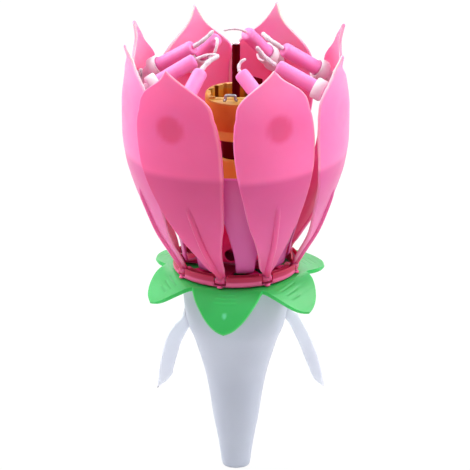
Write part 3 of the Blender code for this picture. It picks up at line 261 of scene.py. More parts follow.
# Painted light: the inner faces paler near the top, most on the back petals, where light falls from
# above and through
INNER_LIGHT_TINT = (1.12, 2.6, 1.5)
INNER_LIGHT_SHARES = [0.3, 0.3, 0.4, 0.35, 1.0, 1.0, 0.35, 0.4]
INNER_FROM = 0.0840
INNER_TO = 0.1020
HINGE_TINT = (0.86, 0.42, 0.58)

# Camera: the photograph's angle and scale
CAMERA_ELEVATION_DEG = 20.3
CAMERA_DISTANCE = 2.0
PIXEL_SIZE = 0.000289
PHOTO_SIDE = 470
AIM = Vector((-0.0003, 0.0, 0.0712))
SENSOR_WIDTH = 36.0

# Studio
WORLD_FILL = 0.34
FLOOR_GLOW_SHARE = 0.9


def sample(table, x):
    """Read a table of (x, y) pairs at x on a smooth curve that never overshoots."""
    if x <= table[0][0]:
        return table[0][1]
    if x >= table[-1][0]:
        return table[-1][1]
    slopes = [(b[1] - a[1]) / (b[0] - a[0]) for a, b in zip(table, table[1:])]
    tangents = [slopes[0]]
    for left, right in zip(slopes, slopes[1:]):
        tangents.append(0.0 if left * right <= 0 else 2 * left * right / (left + right))
    tangents.append(slopes[-1])
    i = max(k for k in range(len(slopes)) if table[k][0] <= x)
    span = table[i + 1][0] - table[i][0]
    t = (x - table[i][0]) / span
    value = (2 * t**3 - 3 * t**2 + 1) * table[i][1] + (3 * t**2 - 2 * t**3) * table[i + 1][1]
    value += (t**3 - 2 * t**2 + t) * span * tangents[i] + (t**3 - t**2) * span * tangents[i + 1]
    return value


def radial(azimuth_deg):
    angle = math.radians(azimuth_deg)
    return Vector((math.sin(angle), -math.cos(angle), 0.0))


def smoothstep(low, high, x):
    t = min(1.0, max(0.0, (x - low) / (high - low)))
    return t * t * (3.0 - 2.0 * t)


# Materials

def new_material(name):
    material = bpy.data.materials.new(name)
    material.use_nodes = True
    return material, material.node_tree.nodes, material.node_tree.links


def add_noise(nodes, links, scale, detail=4.0, stretch=(1.0, 1.0, 1.0)):
    coordinates = nodes.new("ShaderNodeTexCoord")
    mapping = nodes.new("ShaderNodeMapping")
    mapping.inputs["Scale"].default_value = stretch
    noise = nodes.new("ShaderNodeTexNoise")
    noise.inputs["Scale"].default_value = scale
    noise.inputs["Detail"].default_value = detail
    links.new(coordinates.outputs["Object"], mapping.inputs["Vector"])
    links.new(mapping.outputs["Vector"], noise.inputs["Vector"])
    return noise, coordinates


def add_ramp(nodes, links, source, stops):
    ramp = nodes.new("ShaderNodeValToRGB")
    elements = ramp.color_ramp.elements
    while len(elements) < len(stops):
        elements.new(0.5)
    for element, (place, color) in zip(elements, stops):
        element.position = place
        element.color = (*color, 1.0)
    links.new(source, ramp.inputs["Fac"])
    return ramp


def add_height(nodes, links, coordinates, low, high):
    """A value that runs from 0 at one height of the object to 1 at another."""
    split = nodes.new("ShaderNodeSeparateXYZ")
    span = nodes.new("ShaderNodeMapRange")
    span.inputs["From Min"].default_value = low
    span.inputs["From Max"].default_value = high
    links.new(coordinates.outputs["Object"], split.inputs["Vector"])
    links.new(split.outputs["Z"], span.inputs["Value"])
    return span.outputs["Result"]


def add_bump(nodes, links, source, shader, strength, distance):
    bump = nodes.new("ShaderNodeBump")
    bump.inputs["Strength"].default_value = strength
    bump.inputs["Distance"].default_value = distance
    links.new(source, bump.inputs["Height"])
    links.new(bump.outputs["Normal"], shader.inputs["Normal"])


def vary_roughness(nodes, links, noise, shader, low, high):
    span = nodes.new("ShaderNodeMapRange")
    span.inputs["To Min"].default_value = low
    span.inputs["To Max"].default_value = high
    links.new(noise.outputs["Fac"], span.inputs["Value"])
    links.new(span.outputs["Result"], shader.inputs["Roughness"])


def soften(shader, weight, scale, radius):
    """Let light scatter through thin plastic or wax."""
    shader.subsurface_method = "RANDOM_WALK"
    shader.inputs["Subsurface Weight"].default_value = weight
    shader.inputs["Subsurface Scale"].default_value = scale
    shader.inputs["Subsurface Radius"].default_value = radius


def moulded_plastic(name, dark, light, roughness=(0.32, 0.46), grain=420.0, bump=0.12,
                    scatter=None, height=None, height_stops=None, tinted=False, gloss=0.5):
    """Moulded plastic: faint colour drift, fine surface grain and uneven gloss."""
    material, nodes, links = new_material(name)
    shader = nodes["Principled BSDF"]
    noise, coordinates = add_noise(nodes, links, grain)
    drift, unused = add_noise(nodes, links, grain / 8.0, 2.0)
    ramp = add_ramp(nodes, links, drift.outputs["Fac"], [(0.3, dark), (0.7, light)])
    color = ramp.outputs["Color"]
    if height:
        level = add_height(nodes, links, coordinates, *height)
        tint = add_ramp(nodes, links, level, height_stops)
        mix = nodes.new("ShaderNodeMix")
        mix.data_type = "RGBA"
        mix.blend_type = "MULTIPLY"
        mix.inputs["Factor"].default_value = 1.0
        links.new(color, mix.inputs["A"])
        links.new(tint.outputs["Color"], mix.inputs["B"])
        color = mix.outputs["Result"]
    if tinted:
        tint = nodes.new("ShaderNodeAttribute")
        tint.attribute_name = "tint"
        mix = nodes.new("ShaderNodeMix")
        mix.data_type = "RGBA"
        mix.blend_type = "MULTIPLY"
        mix.inputs["Factor"].default_value = 1.0
        links.new(color, mix.inputs["A"])
        links.new(tint.outputs["Color"], mix.inputs["B"])
        color = mix.outputs["Result"]
    links.new(color, shader.inputs["Base Color"])
    shader.inputs["Specular IOR Level"].default_value = gloss
    vary_roughness(nodes, links, noise, shader, *roughness)
    add_bump(nodes, links, noise.outputs["Fac"], shader, bump, 0.0002)
    if scatter:
        soften(shader, *scatter)
    return material


def metal(name, color, roughness, stretch=(1.0, 1.0, 12.0)):
    material, nodes, links = new_material(name)
    shader = nodes["Principled BSDF"]
    noise, coordinates = add_noise(nodes, links, 900.0, 3.0, stretch)
    darker = tuple(c * 0.75 for c in color)
    ramp = add_ramp(nodes, links, noise.outputs["Fac"], [(0.3, darker), (0.7, color)])
    links.new(ramp.outputs["Color"], shader.inputs["Base Color"])
    vary_roughness(nodes, links, noise, shader, roughness, roughness + 0.15)
    add_bump(nodes, links, noise.outputs["Fac"], shader, 0.1, 0.0001)
    shader.inputs["Metallic"].default_value = 1.0
    return material


def braided(name, dark, light):
    """Waxed cotton: a fine twisted strand under a thin coat."""
    material, nodes, links = new_material(name)
    shader = nodes["Principled BSDF"]
    noise, coordinates = add_noise(nodes, links, 1500.0, 5.0)
    wave = nodes.new("ShaderNodeTexWave")
    wave.wave_type = "BANDS"
    wave.bands_direction = "DIAGONAL"
    wave.inputs["Scale"].default_value = 900.0
    wave.inputs["Distortion"].default_value = 3.0
    links.new(coordinates.outputs["Object"], wave.inputs["Vector"])
    ramp = add_ramp(nodes, links, noise.outputs["Fac"], [(0.3, dark), (0.65, light)])
    links.new(ramp.outputs["Color"], shader.inputs["Base Color"])
    vary_roughness(nodes, links, noise, shader, 0.45, 0.7)
    add_bump(nodes, links, wave.outputs["Fac"], shader, 0.35, 0.0002)
    soften(shader, 0.4, 0.0008, (1.0, 0.8, 0.9))
    return material


# Painted shade on the ring: much darker at its top, under the crown and drum, and darker at its foot
ROSE_SHADE_BANDS = [(0.0, (1.0, 0.6, 0.7)), (0.2, (1.0, 1.0, 1.0)), (0.42, (1.0, 1.0, 1.0)),
              (0.56, (0.62, 0.14, 0.30)), (1.0, (0.50, 0.08, 0.18))]
PETAL_PINK = moulded_plastic("petal_pink_plastic", (0.75, 0.073, 0.275), (0.80, 0.087, 0.305),
                             scatter=(0.6, 0.003, (1.0, 0.35, 0.5)), bump=0.05,
                             roughness=(0.33, 0.42), tinted=True, gloss=0.6)
PETAL_SHADER = PETAL_PINK.node_tree.nodes["Principled BSDF"]
PETAL_SHADER.inputs["Sheen Weight"].default_value = 0.08
PETAL_SHADER.inputs["Sheen Roughness"].default_value = 0.45
PETAL_SHADER.inputs["Sheen Tint"].default_value = (1.0, 0.75, 0.88, 1.0)
LILAC = moulded_plastic("crown_lilac_plastic", (0.57, 0.088, 0.335), (0.655, 0.118, 0.39),
                        scatter=(0.5, 0.002, (1.0, 0.5, 0.9)))
CRIMSON = moulded_plastic("crimson_plastic", (0.90, 0.015, 0.21), (0.95, 0.024, 0.24),
                          roughness=(0.42, 0.58), scatter=(0.5, 0.002, (1.0, 0.2, 0.3)), gloss=0.3)
RING_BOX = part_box("petal_ring")
# The ring's rose plastic, with painted shade from the height bands
ROSE = moulded_plastic("ring_rose_plastic", (0.76, 0.095, 0.26), (0.86, 0.13, 0.32),
                       scatter=(0.5, 0.002, (1.0, 0.4, 0.5)),
                       height=(RING_BOX[0].z, RING_BOX[1].z), height_stops=ROSE_SHADE_BANDS, gloss=0.3)
FROST = moulded_plastic("frosted_stem_plastic", (0.46, 0.487, 0.585), (0.51, 0.537, 0.637),
                        roughness=(0.42, 0.58), bump=0.15, scatter=(0.6, 0.004, (1.0, 1.0, 1.0)))
# Painted light: a paler copy of the stem's frosted plastic for the thin fins
FIN_FROST_LIT = moulded_plastic("frosted_fin_plastic", (0.63, 0.65, 0.765), (0.68, 0.70, 0.815),
                            roughness=(0.42, 0.58), bump=0.15,
                            scatter=(0.6, 0.004, (1.0, 1.0, 1.0)))
WHITE = moulded_plastic("holder_white_plastic", (0.86, 0.80, 0.84), (0.92, 0.88, 0.91),
                        scatter=(0.3, 0.001, (1.0, 0.8, 0.9)))
WAX = moulded_plastic("candle_pink_wax", (0.95, 0.23, 0.55), (0.98, 0.33, 0.70), grain=700.0,
                      roughness=(0.38, 0.55), bump=0.2, scatter=(0.6, 0.0025, (1.0, 0.35, 0.5)))
ORANGE_BANDS = [(0.0, (1.25, 3.0, 6.0)), (0.24, (1.25, 3.0, 6.0)), (0.28, (0.98, 1.0, 0.6)),
                (0.55, (0.90, 0.85, 0.5)), (0.88, (1.0, 1.1, 0.8)), (0.91, (0.80, 1.25, 2.6)),
                (1.0, (0.80, 1.25, 2.6))]
POD_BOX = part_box("seed_pod")
ORANGE = moulded_plastic("pod_orange_plastic", (0.67, 0.20, 0.014), (0.78, 0.28, 0.026),
                         grain=600.0, bump=0.25, roughness=(0.4, 0.6),
                         scatter=(0.3, 0.0015, (1.0, 0.4, 0.2)),
                         height=(POD_BOX[0].z, POD_BOX[1].z), height_stops=ORANGE_BANDS)
LOWER_ORANGE = moulded_plastic("lower_pod_orange_plastic", (0.74, 0.36, 0.030),
                               (0.82, 0.48, 0.06), grain=600.0, bump=0.2,
                               scatter=(0.3, 0.0015, (1.0, 0.4, 0.2)))
MAROON = moulded_plastic("fuse_maroon", (0.060, 0.0007, 0.003), (0.115, 0.0014, 0.005),
                         roughness=(0.5, 0.7), grain=1400.0, bump=0.5, gloss=0.0)
NECK_MAROON = moulded_plastic("neck_maroon_plastic", (0.070, 0.0009, 0.0015),
                              (0.115, 0.0014, 0.0025), roughness=(0.30, 0.40), bump=0.1,
                              gloss=0.15)
STEEL = metal("steel_wire_metal", (0.38, 0.38, 0.41), 0.25)
SILVER = metal("fuse_tip_silver", (0.70, 0.70, 0.72), 0.30)
BRASS = metal("brass_sheet", (0.72, 0.52, 0.20), 0.25)
BOARD = moulded_plastic("board_laminate", (0.16, 0.08, 0.02), (0.24, 0.12, 0.04))
EPOXY = moulded_plastic("chip_epoxy", (0.010, 0.010, 0.010), (0.02, 0.02, 0.02),
                        roughness=(0.2, 0.35))
WICK = braided("waxed_wick_cotton", (0.66, 0.52, 0.60), (0.86, 0.80, 0.84))


def leaf_green():
    """Green plastic with faint rings round the stem, multiplied by the mesh's tint."""
    material, nodes, links = new_material("calyx_green_plastic")
    shader = nodes["Principled BSDF"]
    noise, coordinates = add_noise(nodes, links, 380.0)
    drift, unused = add_noise(nodes, links, 60.0, 2.0)
    rings = nodes.new("ShaderNodeTexWave")
    rings.wave_type = "RINGS"
    rings.rings_direction = "Z"
    rings.inputs["Scale"].default_value = 190.0
    rings.inputs["Distortion"].default_value = 1.2
    links.new(coordinates.outputs["Object"], rings.inputs["Vector"])
    ramp = add_ramp(nodes, links, drift.outputs["Fac"],
                    [(0.3, (0.010, 0.375, 0.062)), (0.7, (0.022, 0.460, 0.096))])
    tint = nodes.new("ShaderNodeAttribute")
    tint.attribute_name = "tint"
    mix = nodes.new("ShaderNodeMix")
    mix.data_type = "RGBA"
    mix.blend_type = "MULTIPLY"
    mix.inputs["Factor"].default_value = 1.0
    links.new(ramp.outputs["Color"], mix.inputs["A"])
    links.new(tint.outputs["Color"], mix.inputs["B"])
    links.new(mix.outputs["Result"], shader.inputs["Base Color"])
    vary_roughness(nodes, links, noise, shader, 0.30, 0.45)
    add_bump(nodes, links, rings.outputs["Fac"], shader, 0.10, 0.0002)
    soften(shader, 0.5, 0.0025, (0.4, 1.0, 0.4))
    return material


GREEN = leaf_green()


# Mesh building

def link(obj):
    bpy.context.scene.collection.objects.link(obj)
    return obj


def mesh_object(name, verts, faces, material):
    mesh = bpy.data.meshes.new(name)
    mesh.from_pydata([tuple(v) for v in verts], [], faces)
    mesh.materials.append(material)
    mesh.shade_smooth()
    return link(bpy.data.objects.new(name, mesh))


def merge(name, objects):
    """One object from several, each keeping its materials."""
    bpy.context.view_layer.update()
    materials = []
    work = bmesh.new()
    graph = bpy.context.evaluated_depsgraph_get()
    for obj in objects:
        mesh = bpy.data.meshes.new_from_object(obj.evaluated_get(graph))
        mesh.transform(obj.matrix_world)
        slots = []
        for material in mesh.materials:
            if material not in materials:
                materials.append(material)
            slots.append(materials.index(material))
        for polygon in mesh.polygons:
            polygon.material_index = slots[polygon.material_index] if slots else 0
        work.from_mesh(mesh)
        bpy.data.meshes.remove(mesh)
    for obj in objects:
        bpy.data.objects.remove(obj, do_unlink=True)
    mesh = bpy.data.meshes.new(name)
    work.to_mesh(mesh)
    work.free()
    for material in materials:
        mesh.materials.append(material)
    return link(bpy.data.objects.new(name, mesh))


def grid_normals(grid, wrap=False):
    rows = len(grid)
    columns = len(grid[0])
    normals = []
    for i in range(rows):
        line = []
        for j in range(columns):
            up = grid[min(i + 1, rows - 1)][j] - grid[max(i - 1, 0)][j]
            if wrap:
                side = grid[i][(j + 1) % columns] - grid[i][j - 1]
            else:
                side = grid[i][min(j + 1, columns - 1)] - grid[i][max(j - 1, 0)]
            line.append(side.cross(up).normalized())
        normals.append(line)
    return normals


def closed_shell(name, grid, thickness, material, inner_material=None, relief=None):
    """A closed sheet with a rounded rim: outer grid, inner grid and the edge between them."""
    rows = len(grid)
    columns = len(grid[0])
    normals = grid_normals(grid)
    verts = []
    for i in range(rows):
        for j in range(columns):
            lift = relief[i][j] if relief else 0.0
            verts.append(grid[i][j] + normals[i][j] * lift)
    for i in range(rows):
        for j in range(columns):
            verts.append(grid[i][j] - normals[i][j] * thickness)
    inner = rows * columns
    faces = []
    for i in range(rows - 1):
        for j in range(columns - 1):
            a = i * columns + j
            b = a + columns
            faces.append((a, a + 1, b + 1, b))
    outer_faces = len(faces)
    faces += [tuple(inner + k for k in reversed(face)) for face in faces[:outer_faces]]
    loop = [(0, j) for j in range(columns)] + [(i, columns - 1) for i in range(1, rows)]
    loop += [(rows - 1, j) for j in range(columns - 2, -1, -1)]
    loop += [(i, 0) for i in range(rows - 2, 0, -1)]
    rim_steps = (0.25, 0.5, 0.75)
    rim = []
    for i, j in loop:
        inward = Vector()
        if i == 0:
            inward += grid[1][j] - grid[0][j]
        if i == rows - 1:
            inward += grid[rows - 2][j] - grid[rows - 1][j]
        if j == 0:
            inward += grid[i][1] - grid[i][0]
        if j == columns - 1:
            inward += grid[i][columns - 2] - grid[i][columns - 1]
        outward = -inward.normalized()
        top = verts[i * columns + j]
        low = verts[inner + i * columns + j]
        line = []
        for step in rim_steps:
            swell = math.sin(math.pi * step) * thickness * 0.5
            line.append(len(verts))
            verts.append(top.lerp(low, step) + outward * swell)
        rim.append([i * columns + j] + line + [inner + i * columns + j])
    count = len(rim)
    for k in range(count):
        here = rim[k]
        there = rim[(k + 1) % count]
        for s in range(len(here) - 1):
            faces.append((there[s], here[s], here[s + 1], there[s + 1]))
    obj = mesh_object(name, verts, faces, material)
    if inner_material:
        obj.data.materials.append(inner_material)
        for polygon in obj.data.polygons[outer_faces:2 * outer_faces]:
            polygon.material_index = 1
    return obj


def turned(name, profile, material, segments=72, closed=False):
    """Spin an (r, z) profile, listed down its outer side, round the Z axis."""
    verts = []
    rings = []
    for r, z in profile:
        if r < 1e-7:
            rings.append([len(verts)])
            verts.append(Vector((0.0, 0.0, z)))
            continue
        rings.append(list(range(len(verts), len(verts) + segments)))
        for k in range(segments):
            angle = math.tau * k / segments
            verts.append(Vector((r * math.cos(angle), r * math.sin(angle), z)))
    faces = []
    pairs = list(zip(rings, rings[1:]))
    if closed:
        pairs.append((rings[-1], rings[0]))
    for top, low in pairs:
        for k in range(segments):
            n = (k + 1) % segments
            if len(top) == 1 and len(low) == 1:
                continue
            if len(top) == 1:
                faces.append((top[0], low[k], low[n]))
            elif len(low) == 1:
                faces.append((top[n], top[k], low[0]))
            else:
                faces.append((top[n], top[k], low[k], low[n]))
    return mesh_object(name, verts, faces, material)


def sharp_smooth(obj, angle_deg=38.0):
    obj.data.shade_smooth()
    obj.data.set_sharp_from_angle(angle=math.radians(angle_deg))
    return obj


def round_edges(obj, width, segments=3, angle_deg=35.0):
    bevel = obj.modifiers.new("rounded_edges", "BEVEL")
    bevel.width = width
    bevel.segments = segments
    bevel.limit_method = "ANGLE"
    bevel.angle_limit = math.radians(angle_deg)
    bevel.harden_normals = False
    return obj


def swept_tube(name, path, radii, material, sides=14):
    """A tube along a path with its own radius at each point and rounded ends."""
    verts = []
    rings = []
    frame_side = Vector((1.0, 0.0, 0.0))
    for i, point in enumerate(path):
        ahead = path[min(i + 1, len(path) - 1)]
        behind = path[max(i - 1, 0)]
        tangent = (ahead - behind).normalized()
        side = frame_side - tangent * frame_side.dot(tangent)
        if side.length < 0.1:
            side = tangent.orthogonal()
        side.normalize()
        frame_side = side
        other = tangent.cross(side)
        ring = []
        for k in range(sides):
            angle = math.tau * k / sides
            ring.append(len(verts))
            verts.append(point + (side * math.cos(angle) + other * math.sin(angle)) * radii[i])
        rings.append(ring)
    faces = []
    for low, top in zip(rings, rings[1:]):
        for k in range(sides):
            n = (k + 1) % sides
            faces.append((low[k], low[n], top[n], top[k]))
    faces.append(tuple(reversed(rings[0])))
    faces.append(tuple(rings[-1]))
    return mesh_object(name, verts, faces, material)


def smooth_path(points, steps):
    """Points along a smooth curve through the given ones."""
    result = []
    last = len(points) - 1
    for i in range(last):
        a = points[max(i - 1, 0)]
        b = points[i]
        c = points[i + 1]
        d = points[min(i + 2, last)]
        for k in range(steps):
            t = k / steps
            result.append(0.5 * ((2 * b) + (c - a) * t + (2 * a - 5 * b + 4 * c - d) * t**2
                                 + (3 * b - a - 3 * c + d) * t**3))
    result.append(points[-1].copy())
    return result


# Petals

def petal_azimuth(index):
    return PETAL_FIRST_AZIMUTH_DEG + 360.0 * index / PETAL_COUNT


def petal_matrix(index):
    azimuth = petal_azimuth(index)
    place = radial(azimuth) * HINGE_RADIUS + Vector((0.0, 0.0, HINGE_Z))
    return Matrix.Translation(place) @ Matrix.Rotation(math.radians(azimuth - 90.0), 4, "Z")


def petal_centre(index, share):
    rise = max(0.0, share - PETAL_LEAN_START_SHARE) / (1.0 - PETAL_LEAN_START_SHARE)
    lean = math.radians(PETAL_LEAN_DEG[index] * rise**PETAL_LEAN_POWER)
    radius = HINGE_RADIUS + PETAL_BULGE * sample(PETAL_MERIDIAN_SHARES, share)
    out = Vector((math.cos(lean), math.sin(lean), 0.0))
    centre = out * radius - Vector((HINGE_RADIUS, 0.0, 0.0))
    centre.z = PETAL_HEIGHT * PETAL_HEIGHT_SHARES[index] * share
    return centre, out, radius


def petal_half_width(index, share):
    start = PETAL_POINT_START_SHARE
    if share > start:
        point = (share - start) / (1.0 - start)
        share = start + (1.0 - start) * point ** PETAL_POINT_POWERS[index]
    return PETAL_HALF_WIDTH * sample(PETAL_WIDTH_SHARES, share)


def blade_point(index, share, offset):
    """A point on the blade's outer face, an arc length away from its centre line."""
    centre, out, radius = petal_centre(index, share)
    side = Vector((-out.y, out.x, 0.0))
    angle = offset / radius
    x = radius * math.sin(angle)
    sag = radius * (1.0 - math.cos(angle))
    twist = math.radians(PETAL_TWIST_DEG[index]) * min(1.0, share / PETAL_TWIST_FULL_SHARE)
    inwards = sag * math.cos(twist) + x * math.sin(twist)
    return centre + side * (x * math.cos(twist)) - out * inwards


def petal_offsets(index, share):
    """Arc lengths of a row's points: close ones over the rib, even ones out to the edge."""
    half = petal_half_width(index, share) - PETAL_THICKNESS * 0.45
    half = max(half, PETAL_THICKNESS * 0.12)
    ridge = [RIB_RADIUS * offset for offset in RIDGE_OFFSET_SHARES]
    reach = ridge[-1]
    if half < reach * 1.3:
        ridge = [offset * half / (reach * 1.3) for offset in ridge]
        reach = ridge[-1]
    outer = [reach + (half - reach) * math.sin(0.5 * math.pi * k / PETAL_SIDE_COLUMNS)
             for k in range(1, PETAL_SIDE_COLUMNS + 1)]
    return [-offset for offset in reversed(outer)] + ridge + outer


def dimple_share(index, share, offset):
    """1 in the middle of the soft dimple over the holder's foot, 0 outside it."""
    rise = (share - HOLDER_FOOT_SHARE) * PETAL_HEIGHT + DIMPLE_DROP
    away = math.hypot(rise, offset - DIMPLE_SHIFT[index])
    return 1.0 - smoothstep(DIMPLE_RADIUS * 0.6, DIMPLE_RADIUS, away)


def petal_relief(index, share, offset):
    """How far the outer face stands out: the rib along the middle, less the soft dimple."""
    width = RIB_RADIUS * sample(RIB_SHARES, share)
    lift = 0.0
    if width > 0.00002:
        across = abs(offset) / (RIB_RADIUS * (0.6 + 0.4 * width / RIB_RADIUS))
        lift = width * math.sqrt(max(0.0, 1.0 - min(1.0, across)**2.6))
    return lift - DIMPLE_DEPTH * dimple_share(index, share, offset)


def paint_petal(petal, index, place):
    """A tint for each point: painted shade below the crown's top and over the dimple, deeper pink
    along the ribs, painted light on the side petals, the tips and the back petals' inner faces, a
    painted highlight paler at the edges, darker at the hinge.
    """
    back = place.inverted()
    tints = petal.data.color_attributes.new("tint", "FLOAT_COLOR", "POINT")
    height = PETAL_HEIGHT * PETAL_HEIGHT_SHARES[index]
    for vertex, tint in zip(petal.data.vertices, tints.data):
        local = back @ vertex.co
        share = min(1.0, max(0.0, local.z / height))
        centre, out, radius = petal_centre(index, share)
        side = Vector((-out.y, out.x, 0.0))
        spoke = local + Vector((HINGE_RADIUS, 0.0, 0.0))
        offset = radius * math.atan2(spoke.dot(side), spoke.dot(out))
        color = Vector((1.0, 1.0, 1.0))
        # Painted light: this petal made paler by its share, most on the side petals
        color = blend_tint(color, PAINTED_LIGHT_TINT, PAINTED_LIGHT_SHARES[index])
        # Painted highlight on the tips, paler towards the top
        color = blend_tint(color, TIP_LIGHT_TINT,
                           TIP_LIGHT_SHARES[index] * smoothstep(TIP_FROM, TIP_TO, vertex.co.z))
        # Painted shade on the outer face below the crown's top, where the crown stands behind the
        # blade
        crown_shade = 1.0 - smoothstep(CROWN_SHADE_TOP - 0.0012, CROWN_SHADE_TOP + 0.0012,
                                      vertex.co.z)
        crown_shade *= 0.35 + 0.65 * smoothstep(HINGE_Z, CROWN_SHADE_TOP, vertex.co.z)
        depth = (blade_point(index, share, offset) - local).dot(out)
        inside = smoothstep(PETAL_THICKNESS * 0.4, PETAL_THICKNESS * 0.8, depth)
        crown_shade *= 1.0 - inside
        color = blend_tint(color, CROWN_SHADE_TINT, crown_shade)
        # Painted shade over the dimple, where the holder's foot stands behind the blade
        dimple = DIMPLE_SHADE_SHARES[index] * dimple_share(index, share, offset)
        color = blend_tint(color, DIMPLE_SHADE_TINT, dimple)
        rib = sample(RIB_SHARES, share) * (1.0 - smoothstep(0.8, 1.5, abs(offset) / RIB_RADIUS))
        color = blend_tint(color, RIB_TINT, rib)
        # Painted highlight along the blade's edges
        edge = petal_half_width(index, share) - abs(offset)
        color = blend_tint(color, EDGE_HIGHLIGHT_TINT, 1.0 - smoothstep(0.0001, 0.0007, edge))
        # Painted light on the inner faces near the top, most on the back petals
        inner_light = inside * INNER_LIGHT_SHARES[index] * smoothstep(INNER_FROM, INNER_TO, vertex.co.z)
        color = blend_tint(color, INNER_LIGHT_TINT, inner_light)
        foot = 1.0 - smoothstep(BARREL_RADIUS, BARREL_RADIUS * 3.5, local.z)
        color = color.lerp(Vector(HINGE_TINT), foot)
        tint.color = (*color, 1.0)


def blend_tint(color, tint, amount):
    return Vector([c * (1.0 + (t - 1.0) * amount) for c, t in zip(color, tint)])


def build_petal(index):
    tag = "_%d" % (index + 1)
    place = petal_matrix(index)
    grid = []
    relief = []
    for i in range(PETAL_ROWS + 1):
        share = i / PETAL_ROWS
        share = share + 0.035 * math.sin(math.tau * share) / math.tau
        offsets = petal_offsets(index, share)
        grid.append([place @ blade_point(index, share, offset) for offset in offsets])
        relief.append([petal_relief(index, share, offset) for offset in offsets])
    blade = closed_shell("blade" + tag, grid, PETAL_THICKNESS, PETAL_PINK, relief=relief)
    barrel = turned("barrel" + tag, [(0.0, BARREL_HALF_WIDTH),
                                     (BARREL_RADIUS * 0.5, BARREL_HALF_WIDTH),
                                     (BARREL_RADIUS * 0.82, BARREL_HALF_WIDTH * 0.9),
                                     (BARREL_RADIUS, BARREL_HALF_WIDTH * 0.62),
                                     (BARREL_RADIUS, -BARREL_HALF_WIDTH * 0.62),
                                     (BARREL_RADIUS * 0.82, -BARREL_HALF_WIDTH * 0.9),
                                     (BARREL_RADIUS * 0.5, -BARREL_HALF_WIDTH),
                                     (0.0, -BARREL_HALF_WIDTH)], PETAL_PINK, 24)
    barrel.matrix_world = (place @ Matrix.Translation(Vector((BARREL_OFFSET, 0.0, 0.0)))
                           @ Matrix.Rotation(math.radians(90.0), 4, "X"))
    heel = bpy.data.meshes.new("heel" + tag)
    work = bmesh.new()
    bmesh.ops.create_cube(work, size=1.0)
    bmesh.ops.scale(work, vec=Vector((HEEL_LENGTH, 2 * HEEL_HALF_WIDTH, HEEL_THICKNESS)),
                    verts=work.verts)
    work.to_mesh(heel)
    work.free()
    heel.materials.append(PETAL_PINK)
    heel = link(bpy.data.objects.new("heel" + tag, heel))
    heel.matrix_world = place @ Matrix.Translation(Vector((-HEEL_LENGTH / 2, 0.0, 0.0)))
    round_edges(heel, HEEL_THICKNESS / 5)
    petal = merge("pink_petal" + tag, [blade, barrel, heel])
    sharp_smooth(petal, 60.0)
    paint_petal(petal, index, place)
    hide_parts("petal" + tag)
    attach(petal, "petal_body" + tag)


# Candles, their holders and wicks

def candle_axis(index):
    share = CANDLE_BASE_HEIGHT_SHARE * CANDLE_UP_SHARES[index]
    level = PETAL_HEIGHT * share
    out = petal_centre(index, share)[1]
    base = out * (CANDLE_BASE_RADIUS * CANDLE_OUT_SHARES[index])
    base -= Vector((HINGE_RADIUS, 0.0, -level))
    rise = math.radians(CANDLE_RISE_DEG[index])
    yaw = Matrix.Rotation(math.radians(CANDLE_YAW_DEG[index]), 3, "Z")
    direction = yaw @ (-out) * math.cos(rise) + Vector((0.0, 0.0, math.sin(rise)))
    return base, direction.normalized()


def aim(direction):
    return direction.to_track_quat("Z", "Y").to_matrix().to_4x4()


def build_candle(index):
    tag = "_%d" % (index + 1)
    place = petal_matrix(index)
    base, direction = candle_axis(index)
    r = CANDLE_RADIUS
    soft = r * 0.3
    profile = [(0.0, CANDLE_LENGTH - soft * 0.15), (r * 0.35, CANDLE_LENGTH - soft * 0.05),
               (r * 0.7, CANDLE_LENGTH - soft * 0.08), (r - soft * 0.4, CANDLE_LENGTH - soft * 0.35),
               (r - soft * 0.08, CANDLE_LENGTH - soft), (r, CANDLE_LENGTH - 2.2 * soft)]
    steps = 14
    for k in range(1, steps):
        level = CANDLE_LENGTH * (1.0 - k / steps) - 2.2 * soft * (1.0 - k / steps)
        profile.append((r * (1.0 - 0.012 * (1.0 + math.sin(k * 2.1 + index))), level + soft * 0.4))
    profile += [(r, soft * 0.4), (r - soft * 0.4, 0.0), (0.0, 0.0)]
    candle = turned("wax_candle" + tag, profile, WAX, 32)
    candle.matrix_world = place @ Matrix.Translation(base) @ aim(direction)
    sharp_smooth(candle, 50.0)
    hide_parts("mini_candle" + tag)
    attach(candle, "petal_body" + tag)
    build_wick(index, place, base, direction)


def build_wick(index, place, base, direction):
    tag = "_%d" % (index + 1)
    tip = base + direction * (CANDLE_LENGTH + WICK_SEAT / 2)
    up = (Vector((0.0, 0.0, 1.0)) - direction * direction.z).normalized()
    side = Matrix.Rotation(math.radians(WICK_ROLL_DEG[index]), 3, direction) @ up
    bend = math.radians(WICK_BEND_DEG[index])
    arc = WICK_LENGTH[index] / bend
    steps = 36
    path = []
    radii = []
    for i in range(steps + 1):
        t = i / steps
        angle = bend * t
        path.append(place @ (tip + direction * (arc * math.sin(angle))
                             + side * (arc * (1.0 - math.cos(angle)))))
        lumps = 1.0 + 0.07 * math.sin(17.0 * t + index) + 0.05 * math.sin(41.0 * t + 2 * index)
        ends = min(1.0, 0.55 + 7.0 * t) * min(1.0, 0.45 + 9.0 * (1.0 - t))
        radii.append(WICK_RADIUS[index] * lumps * ends * (1.0 - 0.18 * t))
    wick = swept_tube("waxed_wick" + tag, path, radii, WICK)
    sharp_smooth(wick, 50.0)
    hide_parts("wick" + tag)
    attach(wick, "petal_body" + tag)


def holder_seat(index):
    """Where the holder's foot sits on the blade's inner face, and the way it faces."""
    share = HOLDER_FOOT_SHARE
    face = blade_point(index, share, 0.0)
    half = petal_half_width(index, share)
    side = blade_point(index, share, half * 0.1) - blade_point(index, share, -half * 0.1)
    along = blade_point(index, share + 0.02, 0.0) - blade_point(index, share - 0.02, 0.0)
    inward = along.cross(side).normalized()
    if inward.x > 0:
        inward.negate()
    return face + inward * (PETAL_THICKNESS + 2 * CLEAR), inward


